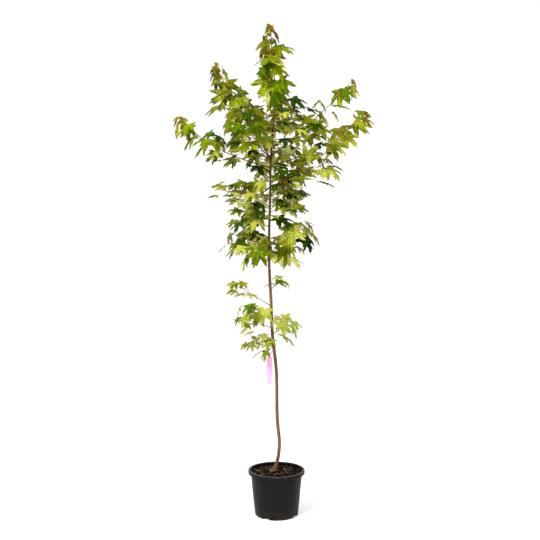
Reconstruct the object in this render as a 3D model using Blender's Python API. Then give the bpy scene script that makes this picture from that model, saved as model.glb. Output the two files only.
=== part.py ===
"""A young freeman maple in its nursery pot. Metres, +Z up, origin at the middle of the pot's underside.

The trunk, the boughs and the masses of leaves all come from the shoots listed below. A shoot that is
marked as a bough has a bare tapering limb of its own first, and its mass of leaves grows on from there.
Left and right are as seen from the front, which is the -Y side.
"""
import math
import random
from collections import namedtuple

import bmesh
import bpy
import numpy as np
from mathutils import Matrix
from mathutils.bvhtree import BVHTree

GAP = 0.0003                  # kept between pieces that touch on the plant
SHORT_EDGE = 0.00001          # a fused mesh that doesn't close gets its shorter edges merged

# The pot: a plain blow-moulded nursery pot with a rolled lip.
POT_HEIGHT = 0.218
POT_LIP_RADIUS = 0.140
POT_TOP_RADIUS = 0.127        # of the wall, just under the lip
POT_BASE_RADIUS = 0.107
POT_WALL = 0.0018
POT_FLOOR = 0.0030
LIP_HEIGHT = 0.017
BASE_ROUNDING = 0.006
POT_SIDES = 36
NOTCHES = 4                   # drainage notches round the foot of the wall
NOTCH_WIDTH = 0.034
NOTCH_HEIGHT = 0.011
NOTCH_DEPTH = 0.015
NOTCH_TURN = math.radians(-29)

# The bark mix that fills it.
SOIL_TOP = 0.206
SOIL_SHOULDER = 0.100         # the mix is level out to here, then falls to the wall
SOIL_FALL = 0.005

# The trunk: height and sideways place of its middle line, which leaves the soil with a crook.
TRUNK_LINE = ((0.200, -0.0145), (0.262, 0.0060), (0.337, 0.0145), (0.450, 0.0050), (0.730, -0.0025),
              (0.860, -0.0180), (1.055, -0.0270), (1.230, -0.0360), (1.550, -0.0320), (1.800, -0.0250),
              (1.970, -0.0120), (2.150, -0.0110), (2.260, -0.0220), (2.428, -0.0300))
TRUNK_BACK = 0.022            # how far behind the pot's middle the foot stands
TRUNK_BACK_FADE = 0.25
TRUNK_FOOT_RADIUS = 0.0086
TRUNK_TIP_RADIUS = 0.0011
TRUNK_TAPER = 1.75
FLARE = 0.0048                # the root flare, added at the soil
FLARE_FADE = 0.016
TRUNK_TOP = 2.040             # the trunk's own wood ends here, and the leading shoot goes on
TREE_TOP = 2.428
TRUNK_SIDES = 10
TRUNK_RINGS = 34
RING_SPREAD = 1.4             # the trunk's rings crowd towards its foot by this power

# Twigs and leaves.
BOUGH_SIDES = 6
BOUGH_RADIUS = 0.0034         # at the trunk
BOUGH_LEAF_START = 0.04       # the first pair's place past the bare limb, as a share of the shoot
LAST_PAIR = 0.985             # where the last pair sits, as a share of the shoot
GROWING_CROWD, RESTING_CROWD = 1.45, 1.15     # how the pairs crowd towards a shoot's tip
LIMB_POINTS = 6
STEM_POINTS = 6
TWIG_POINTS = 3
TWIG_LENGTH = (0.8, 1.3)      # of a side twig, as a share of a blade's length
TWIG_AWAY, TWIG_ALONG, TWIG_LIFT = 0.75, 0.65, 0.15   # how it leaves: off its shoot, along it and up
SIDE_TWIG_GIRTH = 0.8
SIDE_TWIG_PAIRS = ((0.55, 0.85), (0.97, 0.75))
TWIG_SIDES = 3
TWIG_RADIUS = 0.0024          # to the corners of a short side shoot, where it leaves the trunk
TWIG_TIP_RADIUS = 0.0017
WOOD_TAPER = 0.8
STALK_RADIUS = 0.0009
STALK_ROOT = 0.6              # girth of the end that is sunk in the twig, as a share
STALK_FACES = 7
PAIR_STEP = 0.0024            # one leaf of a pair sits this much above the other
STALK_LENGTH = (0.50, 0.90)   # least and most, as shares of the blade's length
STALK_ANGLE = 58              # between a stalk and its twig
GROWING_STALK_ANGLE = 42      # on a shoot that is still growing, where the stalks are shorter too
GROWING_STALK = 0.55
STALK_FALL = 0.10             # how far a stalk's end sinks, as a share of its length
LOBES = ((0, 1.00), (24, 0.52), (46, 0.88), (74, 0.40), (104, 0.56))
HUB = 0.20                    # where the blade's ribs meet, as a share of its length
LEAF_THICKNESS = 0.016        # of the blade at the hub, as a share of its length
LEAF_SAG = (0.132, 0.396)      # least and most fall of the tips below the hub, as shares of the length
LEAF_SIZE = (0.86, 1.10)      # least and most, as shares of the size that its pair has
ROLL_SPREAD = 0.30            # how far a leaf strays round its twig, in radians
STALK_SPREAD = 0.14           # how far a stalk strays from its rule, along each axis
STALK_LIFT = 0.20             # and how strongly it turns up to the light
TURN_SPREAD = 0.35            # how far a blade turns from its stalk's heading, in radians
HEADING_PULL = 0.3            # and how much of its twig's heading it takes up
PITCH_SPREAD = 0.28           # how far it strays from the shoot's droop
TILT_SPREAD = 0.32            # and how far it tips to one side
CLEARANCE = 0.0008            # kept round a leaf that is being placed
TRIES = 24                    # places that a leaf may try before it is left out
LEADER_TIP = (0.40, 0.56, 0.84)   # size of the last three pairs at the top of the tree
GROWING_TIP = (0.46, 0.84)    # of the last two pairs on a bough that is still growing
RESTING_TIP = (0.70, 0.92)    # and on a shoot that has stopped
YOUNG_DROOP = (26, 20, 12)    # how much more the last pairs of a growing shoot hang, in degrees
YOUNG_WIDTH = (0.60, 0.74, 0.88)  # and how wide their blades have opened, as a share
MOST_DROOP = 84

# The space that the crown keeps to.
CROWN_LEFT, CROWN_RIGHT = -0.512, 0.498
CROWN_DEPTH = 0.400
CROWN_FOOT = 0.735

# A blank label strip on a loop round the trunk.
LOOP_HEIGHT = 0.800
LOOP_BAND = 0.0035
LOOP_WALL = 0.0014
STRIP_WIDTH = 0.025
STRIP_LENGTH = 0.138
STRIP_THICKNESS = 0.0008
STRIP_TOP = 0.768
STRIP_X = -0.0350
STRAP_WIDTH = 0.0040
STRAP_THICKNESS = 0.0010

# A shoot leaves the trunk at a height, towards an azimuth (0 to the right, 90 to the back), for a
# reach and a rise. curl is how much of the rise comes late. bare is the share of it before the first
# pair of leaves, or, on a bough, the share that is the bare limb. blade is a grown leaf's length.
Shoot = namedtuple("Shoot", ("name", "height", "azimuth", "reach", "rise", "pairs", "blade", "droop", "seed",
                             "curl", "bare", "twigs", "growing", "bough"),
                   defaults=(0.15, 0.25, 0, False, False))
SHOOTS = (
    Shoot("leader", TRUNK_TOP, 0, 0.0, 0.376, 9, 0.106, 58, 212, 0.0, 0.02, 0, True),
    Shoot("left_high", 1.76, 170, 0.285, 0.475, 6, 0.100, 46, 83, 0.10, 0.50, 1, True, True),
    Shoot("left_forward", 1.80, 210, 0.262, 0.205, 4, 0.100, 32, 37, 0.05, 0.40, 1, False, True),
    Shoot("left_mid", 1.71, 185, 0.450, 0.240, 6, 0.100, 34, 74, 0.50, 0.42, 1, True, True),
    Shoot("right_high", 1.77, 5, 0.408, 0.385, 5, 0.094, 40, 39, 0.12, 0.48, 1, True, True),
    Shoot("right_mid", 1.72, 355, 0.462, 0.258, 6, 0.098, 28, 61, 0.50, 0.32, 1, True, True),
    Shoot("right_low", 1.62, 345, 0.285, 0.105, 4, 0.098, 14, 122, 0.10, 0.36, 1, False, True),
    Shoot("back_high", 1.84, 80, 0.350, 0.270, 5, 0.096, 30, 104, 0.20, 0.42, 1, True, True),
    Shoot("front_high", 1.75, 246, 0.320, 0.150, 5, 0.094, 22, 61, 0.30, 0.42, 1, False, True),
    Shoot("upper_right", 1.95, 340, 0.137, 0.047, 3, 0.096, 8, 78),
    Shoot("upper_left", 1.94, 155, 0.128, 0.056, 3, 0.092, 10, 12),
    Shoot("upper_back", 1.92, 100, 0.150, 0.090, 2, 0.090, 16, 16),
    Shoot("upper_front", 1.90, 300, 0.130, 0.030, 2, 0.090, 18, 55),
    Shoot("inner_right_back", 1.82, 30, 0.197, 0.079, 3, 0.096, 12, 27, 0.15, 0.25, 1),
    Shoot("inner_right_front", 1.80, 305, 0.171, 0.080, 3, 0.094, 14, 83, 0.15, 0.25, 1),
    Shoot("inner_left_back", 1.81, 150, 0.189, 0.074, 3, 0.096, 12, 51, 0.15, 0.25, 1),
    Shoot("inner_left_front", 1.74, 215, 0.190, 0.030, 3, 0.096, 14, 98, 0.15, 0.25, 1),
    Shoot("inner_right", 1.70, 15, 0.165, 0.048, 3, 0.096, 16, 48, 0.15, 0.25, 1),
    Shoot("inner_back", 1.73, 105, 0.200, 0.110, 3, 0.094, 18, 98, 0.15, 0.25, 1),
    Shoot("side_left", 1.56, 190, 0.245, 0.035, 4, 0.084, 16, 63, 0.15, 0.30, 1),
    Shoot("side_left_back", 1.55, 145, 0.180, 0.070, 3, 0.092, 20, 111),
    Shoot("side_right", 1.57, 20, 0.140, 0.055, 3, 0.096, 18, 15, 0.15, 0.25, 1),
    Shoot("side_right_front", 1.49, 315, 0.135, 0.035, 3, 0.092, 18, 39),
    Shoot("side_front", 1.58, 292, 0.210, 0.050, 3, 0.092, 22, 82, 0.15, 0.25, 1),
    Shoot("side_back", 1.50, 75, 0.230, 0.110, 3, 0.092, 22, 48, 0.15, 0.25, 1),
    Shoot("waist_left", 1.42, 170, 0.145, 0.051, 3, 0.092, 28, 145),
    Shoot("waist_front", 1.46, 240, 0.130, 0.040, 3, 0.090, 28, 87),
    Shoot("waist_right", 1.36, 350, 0.180, 0.050, 4, 0.100, 42, 19),
    Shoot("low_left", 1.30, 190, 0.185, 0.050, 3, 0.100, 54, 138),
    Shoot("low_right", 1.27, 35, 0.140, 0.045, 3, 0.094, 44, 55),
    Shoot("low_front", 1.32, 232, 0.150, 0.030, 3, 0.090, 38, 178),
    Shoot("low_back", 1.27, 85, 0.145, 0.065, 3, 0.090, 38, 136),
    Shoot("foot_left_high", 1.03, 168, 0.175, 0.105, 3, 0.066, 26, 40, 0.10, 0.50),
    Shoot("foot_left", 0.96, 200, 0.125, 0.058, 3, 0.080, 37, 137),
    Shoot("foot_left_back", 0.92, 165, 0.150, 0.045, 2, 0.074, 24, 103, 0.15, 0.55),
    Shoot("foot_right", 0.89, 330, 0.090, 0.060, 3, 0.082, 40, 49),
    Shoot("foot_right_back", 1.11, 45, 0.070, 0.040, 2, 0.070, 34, 62),
    Shoot("foot_last", 0.825, 222, 0.045, 0.022, 2, 0.066, 50, 17),
    Shoot("foot_low", 0.84, 190, 0.110, 0.026, 3, 0.070, 34, 85),
)

UP = np.array((0.0, 0.0, 1.0))

LEAF_GREEN = (0.130, 0.200, 0.012)
BARK_BROWN = (0.170, 0.095, 0.050)
SHOOT_RED = (0.150, 0.060, 0.035)
POT_BLACK = (0.022, 0.022, 0.020)
BARK_MIX = (0.045, 0.024, 0.014)
LABEL_PINK = (0.960, 0.610, 0.850)
LOOP_PINK = (0.700, 0.030, 0.320)


def unit(vector):
    return vector / np.linalg.norm(vector)


def smooth_line(knots, at):
    """A cubic through the knots (place, value), read at one place."""
    places, values = np.array(knots).T
    slopes = np.gradient(values, places)
    i = int(np.clip(np.searchsorted(places, at) - 1, 0, len(places) - 2))
    span = places[i + 1] - places[i]
    t = (at - places[i]) / span
    start = (1 + 2 * t) * (1 - t) ** 2 * values[i] + t * (1 - t) ** 2 * span * slopes[i]
    end = t * t * (3 - 2 * t) * values[i + 1] + t * t * (t - 1) * span * slopes[i + 1]
    return start + end


def sideways(heading):
    """A level direction square to a heading, or to the right where the heading is upright."""
    side = np.cross(heading, UP)
    return unit(side) if np.linalg.norm(side) > 0.05 else np.array((1.0, 0.0, 0.0))


def trunk_radius(height):
    """The trunk tapers slowly at first and then faster, and swells where it leaves the soil."""
    share = min(max((height - SOIL_TOP) / (TREE_TOP - SOIL_TOP), 0.0), 1.0)
    taper = TRUNK_TIP_RADIUS + (TRUNK_FOOT_RADIUS - TRUNK_TIP_RADIUS) * (1 - share ** TRUNK_TAPER)
    return taper + FLARE * math.exp(-(height - SOIL_TOP) / FLARE_FADE)


def trunk_rings():
    """The trunk's middle (x, y, height) and radius at each of its rings, up to the leading shoot."""
    foot = SOIL_TOP + GAP
    heights = foot + (TRUNK_TOP - foot) * np.linspace(0, 1, TRUNK_RINGS) ** RING_SPREAD
    return np.array([(*trunk_line_at(height), trunk_radius(height)) for height in heights])


def trunk_line_at(height):
    back = TRUNK_BACK * math.exp(-(height - SOIL_TOP) / TRUNK_BACK_FADE)
    return np.array((smooth_line(TRUNK_LINE, height), back, height))


RINGS = trunk_rings()


def on_trunk(height):
    """The trunk's middle, heading and radius where its solid has them: straight between its rings."""
    x, y, z, radius = [np.interp(height, RINGS[:, 2], column) for column in RINGS.T]
    i = int(np.clip(np.searchsorted(RINGS[:, 2], height), 1, len(RINGS) - 1))
    return np.array((x, y, z)), unit(RINGS[i, :3] - RINGS[i - 1, :3]), radius


def read_path(path, share):
    """The point and the heading at a share of a path's length."""
    steps = np.linalg.norm(np.diff(path, axis=0), axis=1)
    run = np.concatenate([[0.0], np.cumsum(steps)])
    at = share * run[-1]
    i = int(np.clip(np.searchsorted(run, at) - 1, 0, len(steps) - 1))
    t = (at - run[i]) / steps[i]
    return path[i] * (1 - t) + path[i + 1] * t, unit(path[i + 1] - path[i])


def part_of_path(path, start, end, points):
    return np.array([read_path(path, s)[0] for s in np.linspace(start, end, points)])


def outward(shoot):
    """The shoot's level heading, and the same laid square to the trunk where it leaves the bark."""
    angle = math.radians(shoot.azimuth)
    level = np.array((math.cos(angle), math.sin(angle), 0.0))
    upward = on_trunk(shoot.height)[1]
    return level, unit(level - upward * upward.dot(level))


def shoot_path(shoot, points=25):
    """From the trunk's bark to the tip: even steps outward, and a rise that comes later by curl."""
    if not shoot.reach:
        heights = np.linspace(shoot.height, shoot.height + shoot.rise, points)
        return np.array([trunk_line_at(height) for height in heights])
    t = np.linspace(0, 1, points)[:, None]
    middle, _, radius = on_trunk(shoot.height)
    level, square = outward(shoot)
    foot = middle + square * (radius + GAP)
    lift = shoot.rise * ((1 - shoot.curl) * t + shoot.curl * t ** 3)
    return foot + level * (shoot.reach - radius) * t + UP * lift


def tube(path, radii, sides, first=None, last=None):
    """A closed tube: a ring of points round each point of the path, square to it. The first and the
    last ring may face another way, to lie flat against what they meet."""
    headings = np.gradient(path, axis=0)
    headings[0] = headings[0] if first is None else first
    headings[-1] = headings[-1] if last is None else last
    angles = np.arange(sides) * 2 * math.pi / sides
    points = []
    side = sideways(unit(headings[0]))
    for middle, heading, radius in zip(path, headings, radii):
        heading = unit(heading)
        side = unit(side - heading * side.dot(heading))
        other = np.cross(heading, side)
        points += [middle + radius * (math.cos(a) * side + math.sin(a) * other) for a in angles]
    return np.array(points), ring_faces(len(path), sides)


def ring_faces(rings, sides):
    """Triangles between rings of points, and a fan over each end."""
    faces = []
    for r in range(rings - 1):
        for s in range(sides):
            a, b = r * sides + s, r * sides + (s + 1) % sides
            faces += [(a, b, b + sides), (a, b + sides, a + sides)]
    last = (rings - 1) * sides
    for s in range(1, sides - 1):
        faces += [(0, s + 1, s), (last, last + s, last + s + 1)]
    return faces


def leaf_outline():
    """Half the lobes mirrored: (along, across) from the blade's foot, as shares of its length."""
    polar = list(LOBES) + [(-angle, far) for angle, far in LOBES[:0:-1]]
    return np.array([(far * math.cos(math.radians(a)), far * math.sin(math.radians(a))) for a, far in polar])


OUTLINE = leaf_outline()

Leaf = namedtuple("Leaf", "root foot midrib face size sag width")
Bud = namedtuple("Bud", "size droop width growing")
Space = namedtuple("Space", "others wood blades")


def leaf_solid(leaf, grow=0.0):
    """Stalk and blade in one closed body. A three-sided stalk starts inside its twig, and its end is the
    blade's foot. The blade is a ring at its lobed outline, with a point above and one below the hub."""
    across = np.cross(leaf.face, leaf.midrib)
    run = unit(leaf.foot - leaf.root)
    turned_across = unit(across - run * run.dot(across))
    radius, size = STALK_RADIUS + grow, leaf.size + grow
    start = [turned_across, -turned_across, np.cross(turned_across, run)]
    end = [across, -across, -leaf.face]
    stalk = [leaf.root + radius * STALK_ROOT * corner for corner in start]
    stalk += [leaf.foot + radius * corner for corner in end]
    along, side = OUTLINE[:, 0], OUTLINE[:, 1] * leaf.width
    fall = leaf.sag * ((along - HUB) ** 2 + side ** 2)
    flat = np.outer(along, leaf.midrib) + np.outer(side, across)
    ring = leaf.foot + size * (flat - np.outer(fall, leaf.face))
    hub = leaf.foot + size * HUB * leaf.midrib
    half = leaf.face * (0.5 * LEAF_THICKNESS * leaf.size + grow)
    points = np.vstack([stalk, ring, hub + half, hub - half])
    top, bottom = len(points) - 2, len(points) - 1
    faces = [(0, 2, 1)]
    for i in range(3):
        j = (i + 1) % 3
        faces += [(i, j, j + 3), (i, j + 3, i + 3)]
    split = len(LOBES) + 6
    edge = list(range(6, split)) + [3, 4] + list(range(split, top))
    for i, j in zip(edge, edge[1:] + edge[:1]):
        faces.append((i, j, top))
        faces += [(j, i, bottom)] if (i, j) != (3, 4) else [(5, 3, bottom), (4, 5, bottom)]
    return points, faces


def across_twig(heading, roll):
    """The direction square to a twig at a roll round it."""
    side = sideways(heading)
    return math.cos(roll) * side + math.sin(roll) * np.cross(side, heading)


def draw_leaf(place, heading, roll, bud, key):
    """One try at a leaf: its stalk leaves the twig at an angle, and its blade hangs by droop."""
    rng = random.Random(key)
    roll += rng.gauss(0, ROLL_SPREAD)
    away = across_twig(heading, roll)
    scatter = np.array([rng.gauss(0, STALK_SPREAD) for _ in range(3)])
    angle = math.radians(GROWING_STALK_ANGLE if bud.growing else STALK_ANGLE)
    stalk = unit(math.sin(angle) * away + math.cos(angle) * heading + STALK_LIFT * UP + scatter)
    length = bud.size * rng.uniform(*STALK_LENGTH) * (GROWING_STALK if bud.growing else 1.0)
    foot = place + stalk * length - UP * length * STALK_FALL
    ahead = stalk + HEADING_PULL * heading
    turn = math.atan2(ahead[1], ahead[0]) + rng.gauss(0, TURN_SPREAD)
    level = np.array((math.cos(turn), math.sin(turn), 0.0))
    pitch = math.radians(bud.droop) + rng.gauss(0, PITCH_SPREAD)
    midrib = level * math.cos(pitch) - UP * math.sin(pitch)
    face = level * math.sin(pitch) + UP * math.cos(pitch)
    tilt = rng.gauss(0, TILT_SPREAD)
    face = face * math.cos(tilt) + np.cross(face, midrib) * math.sin(tilt)
    sag = rng.uniform(*LEAF_SAG)
    return Leaf(place, foot, midrib, face, bud.size * rng.uniform(*LEAF_SIZE), sag, bud.width)


class Taken:
    """What one node holds so far, as triangles to test a new solid against."""

    def __init__(self):
        self.points, self.faces, self.tree = [], [], None

    def add(self, *solids):
        for points, faces in solids:
            start = len(self.points)
            self.points += [tuple(p) for p in points]
            self.faces += [tuple(start + i for i in face) for face in faces]
        self.tree = BVHTree.FromPolygons(self.points, self.faces)

    def hits(self, probe):
        return bool(self.tree and self.tree.overlap(probe))


def probe_of(solid):
    return BVHTree.FromPolygons([tuple(p) for p in solid[0]], solid[1])


def in_crown(points):
    low, high = points.min(axis=0), points.max(axis=0)
    sides = low[0] > CROWN_LEFT and high[0] < CROWN_RIGHT and max(-low[1], high[1]) < CROWN_DEPTH
    return sides and low[2] > CROWN_FOOT and high[2] < TREE_TOP


def place_leaf(place, heading, roll, bud, key, space):
    """The first try that keeps to the crown and clear of all that is there, or None."""
    for attempt in range(TRIES):
        leaf = draw_leaf(place, heading, roll, bud, "%s try %d" % (key, attempt))
        points, faces = leaf_solid(leaf, CLEARANCE)
        if not in_crown(points):
            continue
        stalk, blade = probe_of((points, faces[:STALK_FACES])), probe_of((points, faces[STALK_FACES:]))
        if space.wood.hits(blade) or space.blades.hits(blade) or space.blades.hits(stalk):
            continue
        if any(other.hits(blade) or other.hits(stalk) for other in space.others):
            continue
        points, faces = leaf_solid(leaf)
        space.wood.add((points, faces[:STALK_FACES]))
        space.blades.add((points, faces[STALK_FACES:]))
        return leaf
    return None


def bud_of(shoot, left):
    """A pair's leaves: full size, but smaller over the last pairs, which hang and are still half folded
    on a growing shoot. left is how many pairs come after this one."""
    sizes = GROWING_TIP if shoot.growing else RESTING_TIP
    if not shoot.reach:
        sizes = LEADER_TIP
    size = shoot.blade * (sizes[left] if left < len(sizes) else 1.0)
    if not shoot.growing or left >= len(YOUNG_WIDTH):
        return Bud(size, shoot.droop, 1.0, shoot.growing)
    return Bud(size, min(shoot.droop + YOUNG_DROOP[left], MOST_DROOP), YOUNG_WIDTH[left], True)


def pair_share(shoot, k):
    """Where the pair sits between the first one and the tip: the steps shorten towards the tip."""
    crowd = GROWING_CROWD if shoot.growing else RESTING_CROWD
    return 1 - (1 - k / (shoot.pairs - 1)) ** crowd


def twig_path(place, heading, roll, length):
    away = TWIG_AWAY * across_twig(heading, roll) + TWIG_ALONG * heading + TWIG_LIFT * UP
    end = place + unit(away) * length
    return np.linspace(place, end, TWIG_POINTS)


def wood_radius(shoot, share):
    """A long limb is stouter at its foot, and the leader goes on from the trunk's own girth."""
    foot = BOUGH_RADIUS if shoot.bough else TWIG_RADIUS
    if not shoot.reach:
        foot = trunk_radius(shoot.height)
    return foot + (TWIG_TIP_RADIUS - foot) * share ** WOOD_TAPER


def limb_solid(shoot):
    """The bare part of a bough, from the trunk's bark to where its leaves begin."""
    shares = np.linspace(0, shoot.bare, LIMB_POINTS)
    path = shoot_path(shoot)
    radii = [wood_radius(shoot, share) for share in shares]
    end = read_path(path, shoot.bare)[1]
    return tube(part_of_path(path, 0, shoot.bare, LIMB_POINTS), radii, BOUGH_SIDES, outward(shoot)[1], end)


def stem_solid(shoot):
    """The leafy part's stem: from the bough's end, the trunk's top or the trunk's bark to the tip."""
    path = shoot_path(shoot)
    start = shoot.bare if shoot.bough else 0.0
    on_end = shoot.bough or not shoot.reach
    count = STEM_POINTS if on_end else TWIG_POINTS + 1
    stem = part_of_path(path, start, 1, count)
    first = outward(shoot)[1]
    if on_end:
        first = read_path(path, start)[1]
        stem[0] += first * GAP
    sides = TWIG_SIDES if shoot.reach else TRUNK_SIDES // 2
    return tube(stem, [wood_radius(shoot, share) for share in np.linspace(start, 1, count)], sides, first)


def side_twig(shoot, place, heading, roll, key, space):
    """A twig in place of a leaf, with two pairs of its own. It is left out where it would touch."""
    length = shoot.blade * random.Random(key).uniform(*TWIG_LENGTH)
    twig = twig_path(place, heading, roll, length)
    radii = np.linspace(TWIG_RADIUS, TWIG_TIP_RADIUS, TWIG_POINTS) * SIDE_TWIG_GIRTH
    solid = tube(twig, radii, TWIG_SIDES)
    probe = probe_of(solid)
    if space.blades.hits(probe) or any(other.hits(probe) for other in space.others):
        return [], []
    space.wood.add(solid)
    leaves = []
    for j, (share, smaller) in enumerate(SIDE_TWIG_PAIRS):
        knot, along = read_path(twig, share)
        for s in (0, 1):
            turn = roll + 1 + j * math.pi / 2 + s * math.pi
            bud = Bud(shoot.blade * smaller, shoot.droop, 1.0, False)
            leaves.append(place_leaf(knot - along * s * PAIR_STEP, along, turn, bud,
                                     "%s twig %d %d" % (key, j, s), space))
    return [solid], leaves


def grow(shoot, others):
    """The twigs and the leaves of a shoot's mass. Leaves come in pairs, each pair turned a quarter
    from the last, and a low pair may have a side twig in place of one leaf."""
    phase = random.Random("%s %d" % (shoot.name, shoot.seed)).uniform(0, math.pi)
    path = shoot_path(shoot)
    twigs, leaves = [stem_solid(shoot)], []
    space = Space(others, Taken(), Taken())
    space.wood.add(twigs[0])
    low = shoot.bare + (BOUGH_LEAF_START if shoot.bough else 0.0)
    for k in range(shoot.pairs):
        share = low + (LAST_PAIR - low) * pair_share(shoot, k)
        place, heading = read_path(path, share)
        bud = bud_of(shoot, shoot.pairs - 1 - k)
        for s in (0, 1):
            roll = phase + k * math.pi / 2 + s * math.pi
            key = "%s %d %d %d" % (shoot.name, shoot.seed, k, s)
            if k < shoot.twigs and s == 0:
                wood, more = side_twig(shoot, place, heading, roll, key, space)
                twigs += wood
                leaves += more
            else:
                leaves.append(place_leaf(place - heading * s * PAIR_STEP, heading, roll, bud, key, space))
    return twigs, [leaf for leaf in leaves if leaf]


def grow_crown(shoots):
    """All wood first, then the leaves shoot by shoot, each clear of all that stands."""
    trunk = Taken()
    trunk.add(trunk_solid())
    limbs = {shoot.name: Taken() for shoot in shoots if shoot.bough}
    stems = {shoot.name: Taken() for shoot in shoots}
    for shoot in shoots:
        stems[shoot.name].add(stem_solid(shoot))
        if shoot.bough:
            limbs[shoot.name].add(limb_solid(shoot))
    crown = {}
    for shoot in shoots:
        others = [trunk, *limbs.values()] + [taken for name, taken in stems.items() if name != shoot.name]
        twigs, leaves = grow(shoot, others)
        solids = twigs + [leaf_solid(leaf) for leaf in leaves]
        crown[shoot.name] = solids
        stems[shoot.name].add(*solids)
    return crown


def trunk_solid():
    """From the flat cut at the soil to the foot of the leading shoot."""
    return tube(RINGS[:, :3], RINGS[:, 3], TRUNK_SIDES, UP)


def material(name, colour, roughness):
    made = bpy.data.materials.new(name)
    made.use_nodes = True
    shader = made.node_tree.nodes["Principled BSDF"]
    shader.inputs["Base Color"].default_value = (*colour, 1.0)
    shader.inputs["Roughness"].default_value = roughness
    return made


def add_object(name, mesh, colour, roughness):
    mesh.materials.append(material(name, colour, roughness))
    made = bpy.data.objects.new(name, mesh)
    bpy.context.scene.collection.objects.link(made)
    return made


def solid_mesh(name, solid):
    mesh = bpy.data.meshes.new(name)
    mesh.from_pydata([tuple(p) for p in solid[0]], [], solid[1])
    return mesh


def largest_piece(mesh, short_edge):
    """Drops loose scraps and sealed hollows, leaves triangles, and tells whether they close."""
    shape = bmesh.new()
    shape.from_mesh(mesh)
    bmesh.ops.remove_doubles(shape, verts=shape.verts[:], dist=short_edge)
    left, pieces = set(shape.faces), []
    while left:
        piece, rim = [], [left.pop()]
        while rim:
            face = rim.pop()
            piece.append(face)
            beside = {near for edge in face.edges for near in edge.link_faces if near in left}
            left -= beside
            rim += beside
        pieces.append(piece)
    pieces.sort(key=len)
    bmesh.ops.delete(shape, geom=[face for piece in pieces[:-1] for face in piece], context="FACES")
    bmesh.ops.triangulate(shape, faces=shape.faces[:])
    closed = all(len(edge.link_faces) == 2 for edge in shape.edges)
    shape.to_mesh(mesh)
    shape.free()
    return closed


def fuse(name, solids, colour, roughness):
    """One Boolean union of a stem with its twigs, stalks and blades."""
    fused = add_object(name, solid_mesh(name, solids[0]), colour, roughness)
    rest = bpy.data.collections.new(name + "_rest")
    bpy.context.scene.collection.children.link(rest)
    for solid in solids[1:]:
        mesh = solid_mesh(name + "_rest", solid)
        rest.objects.link(bpy.data.objects.new(name + "_rest", mesh))
    union = fused.modifiers.new("union", "BOOLEAN")
    union.operation = "UNION"
    union.operand_type = "COLLECTION"
    union.collection = rest
    for solver, short_edge in (("EXACT", 0.0), ("EXACT", SHORT_EDGE), ("MANIFOLD", 0.0)):
        union.solver = solver
        bpy.context.view_layer.update()
        joined = fused.evaluated_get(bpy.context.evaluated_depsgraph_get())
        mesh = bpy.data.meshes.new_from_object(joined)
        if largest_piece(mesh, short_edge):
            break
    fused.modifiers.clear()
    fused.data = mesh
    for loose in list(rest.objects):
        bpy.data.objects.remove(loose)
    bpy.data.collections.remove(rest)
    return fused


def turned(name, profile):
    """A profile of (radius, height) spun round the upright axis, its ends on the axis."""
    shape = bmesh.new()
    verts = [shape.verts.new((radius, 0.0, height)) for radius, height in profile]
    edges = [shape.edges.new(pair) for pair in zip(verts, verts[1:])]
    bmesh.ops.spin(shape, geom=verts + edges, cent=(0, 0, 0), axis=(0, 0, 1), angle=2 * math.pi,
                   steps=POT_SIDES, use_duplicate=False)
    bmesh.ops.remove_doubles(shape, verts=shape.verts[:], dist=0.00001)
    bmesh.ops.recalc_face_normals(shape, faces=shape.faces[:])
    mesh = bpy.data.meshes.new(name)
    shape.to_mesh(mesh)
    shape.free()
    return mesh


def wall_radius(height):
    """The pot's outer wall widens evenly from its foot to the lip."""
    share = (height - BASE_ROUNDING) / (POT_HEIGHT - LIP_HEIGHT - BASE_ROUNDING)
    return POT_BASE_RADIUS + (POT_TOP_RADIUS - POT_BASE_RADIUS) * share


def arc(middle, radius, start, end, points=3):
    """Points (radius, height) along an arc, its angles in degrees."""
    turns = [math.radians(a) for a in np.linspace(start, end, points)]
    return [(middle[0] + radius * math.cos(a), middle[1] + radius * math.sin(a)) for a in turns]


def pot():
    """A thin wall and floor in one, whose lip turns out and down in a skirt."""
    under_lip = POT_HEIGHT - 3 * POT_WALL
    skirt = POT_HEIGHT - LIP_HEIGHT
    lip_turn = 2 * POT_WALL
    profile = [(0.0, 0.0)]
    profile += arc((POT_BASE_RADIUS - BASE_ROUNDING, BASE_ROUNDING), BASE_ROUNDING, -90, 0)
    profile += [(POT_TOP_RADIUS, skirt), (POT_TOP_RADIUS, under_lip)]
    profile += [(POT_LIP_RADIUS - POT_WALL, under_lip), (POT_LIP_RADIUS - POT_WALL, skirt)]
    profile += [(POT_LIP_RADIUS, skirt)]
    profile += arc((POT_LIP_RADIUS - lip_turn, POT_HEIGHT - lip_turn), lip_turn, 0, 90)
    profile += arc((POT_TOP_RADIUS - POT_WALL + lip_turn, POT_HEIGHT - lip_turn), lip_turn, 90, 180)
    profile += [(POT_TOP_RADIUS - POT_WALL, skirt), (POT_BASE_RADIUS - POT_WALL, BASE_ROUNDING)]
    profile += [(POT_BASE_RADIUS - POT_WALL, POT_FLOOR), (0.0, POT_FLOOR)]
    made = add_object("pot", turned("pot", profile), POT_BLACK, 0.42)
    made.data.shade_smooth()
    made.data.set_sharp_from_angle(angle=math.radians(35))
    cutter = notch_cutter()
    notches = made.modifiers.new("notches", "BOOLEAN")
    notches.operation = "DIFFERENCE"
    notches.object = cutter
    return made


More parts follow.
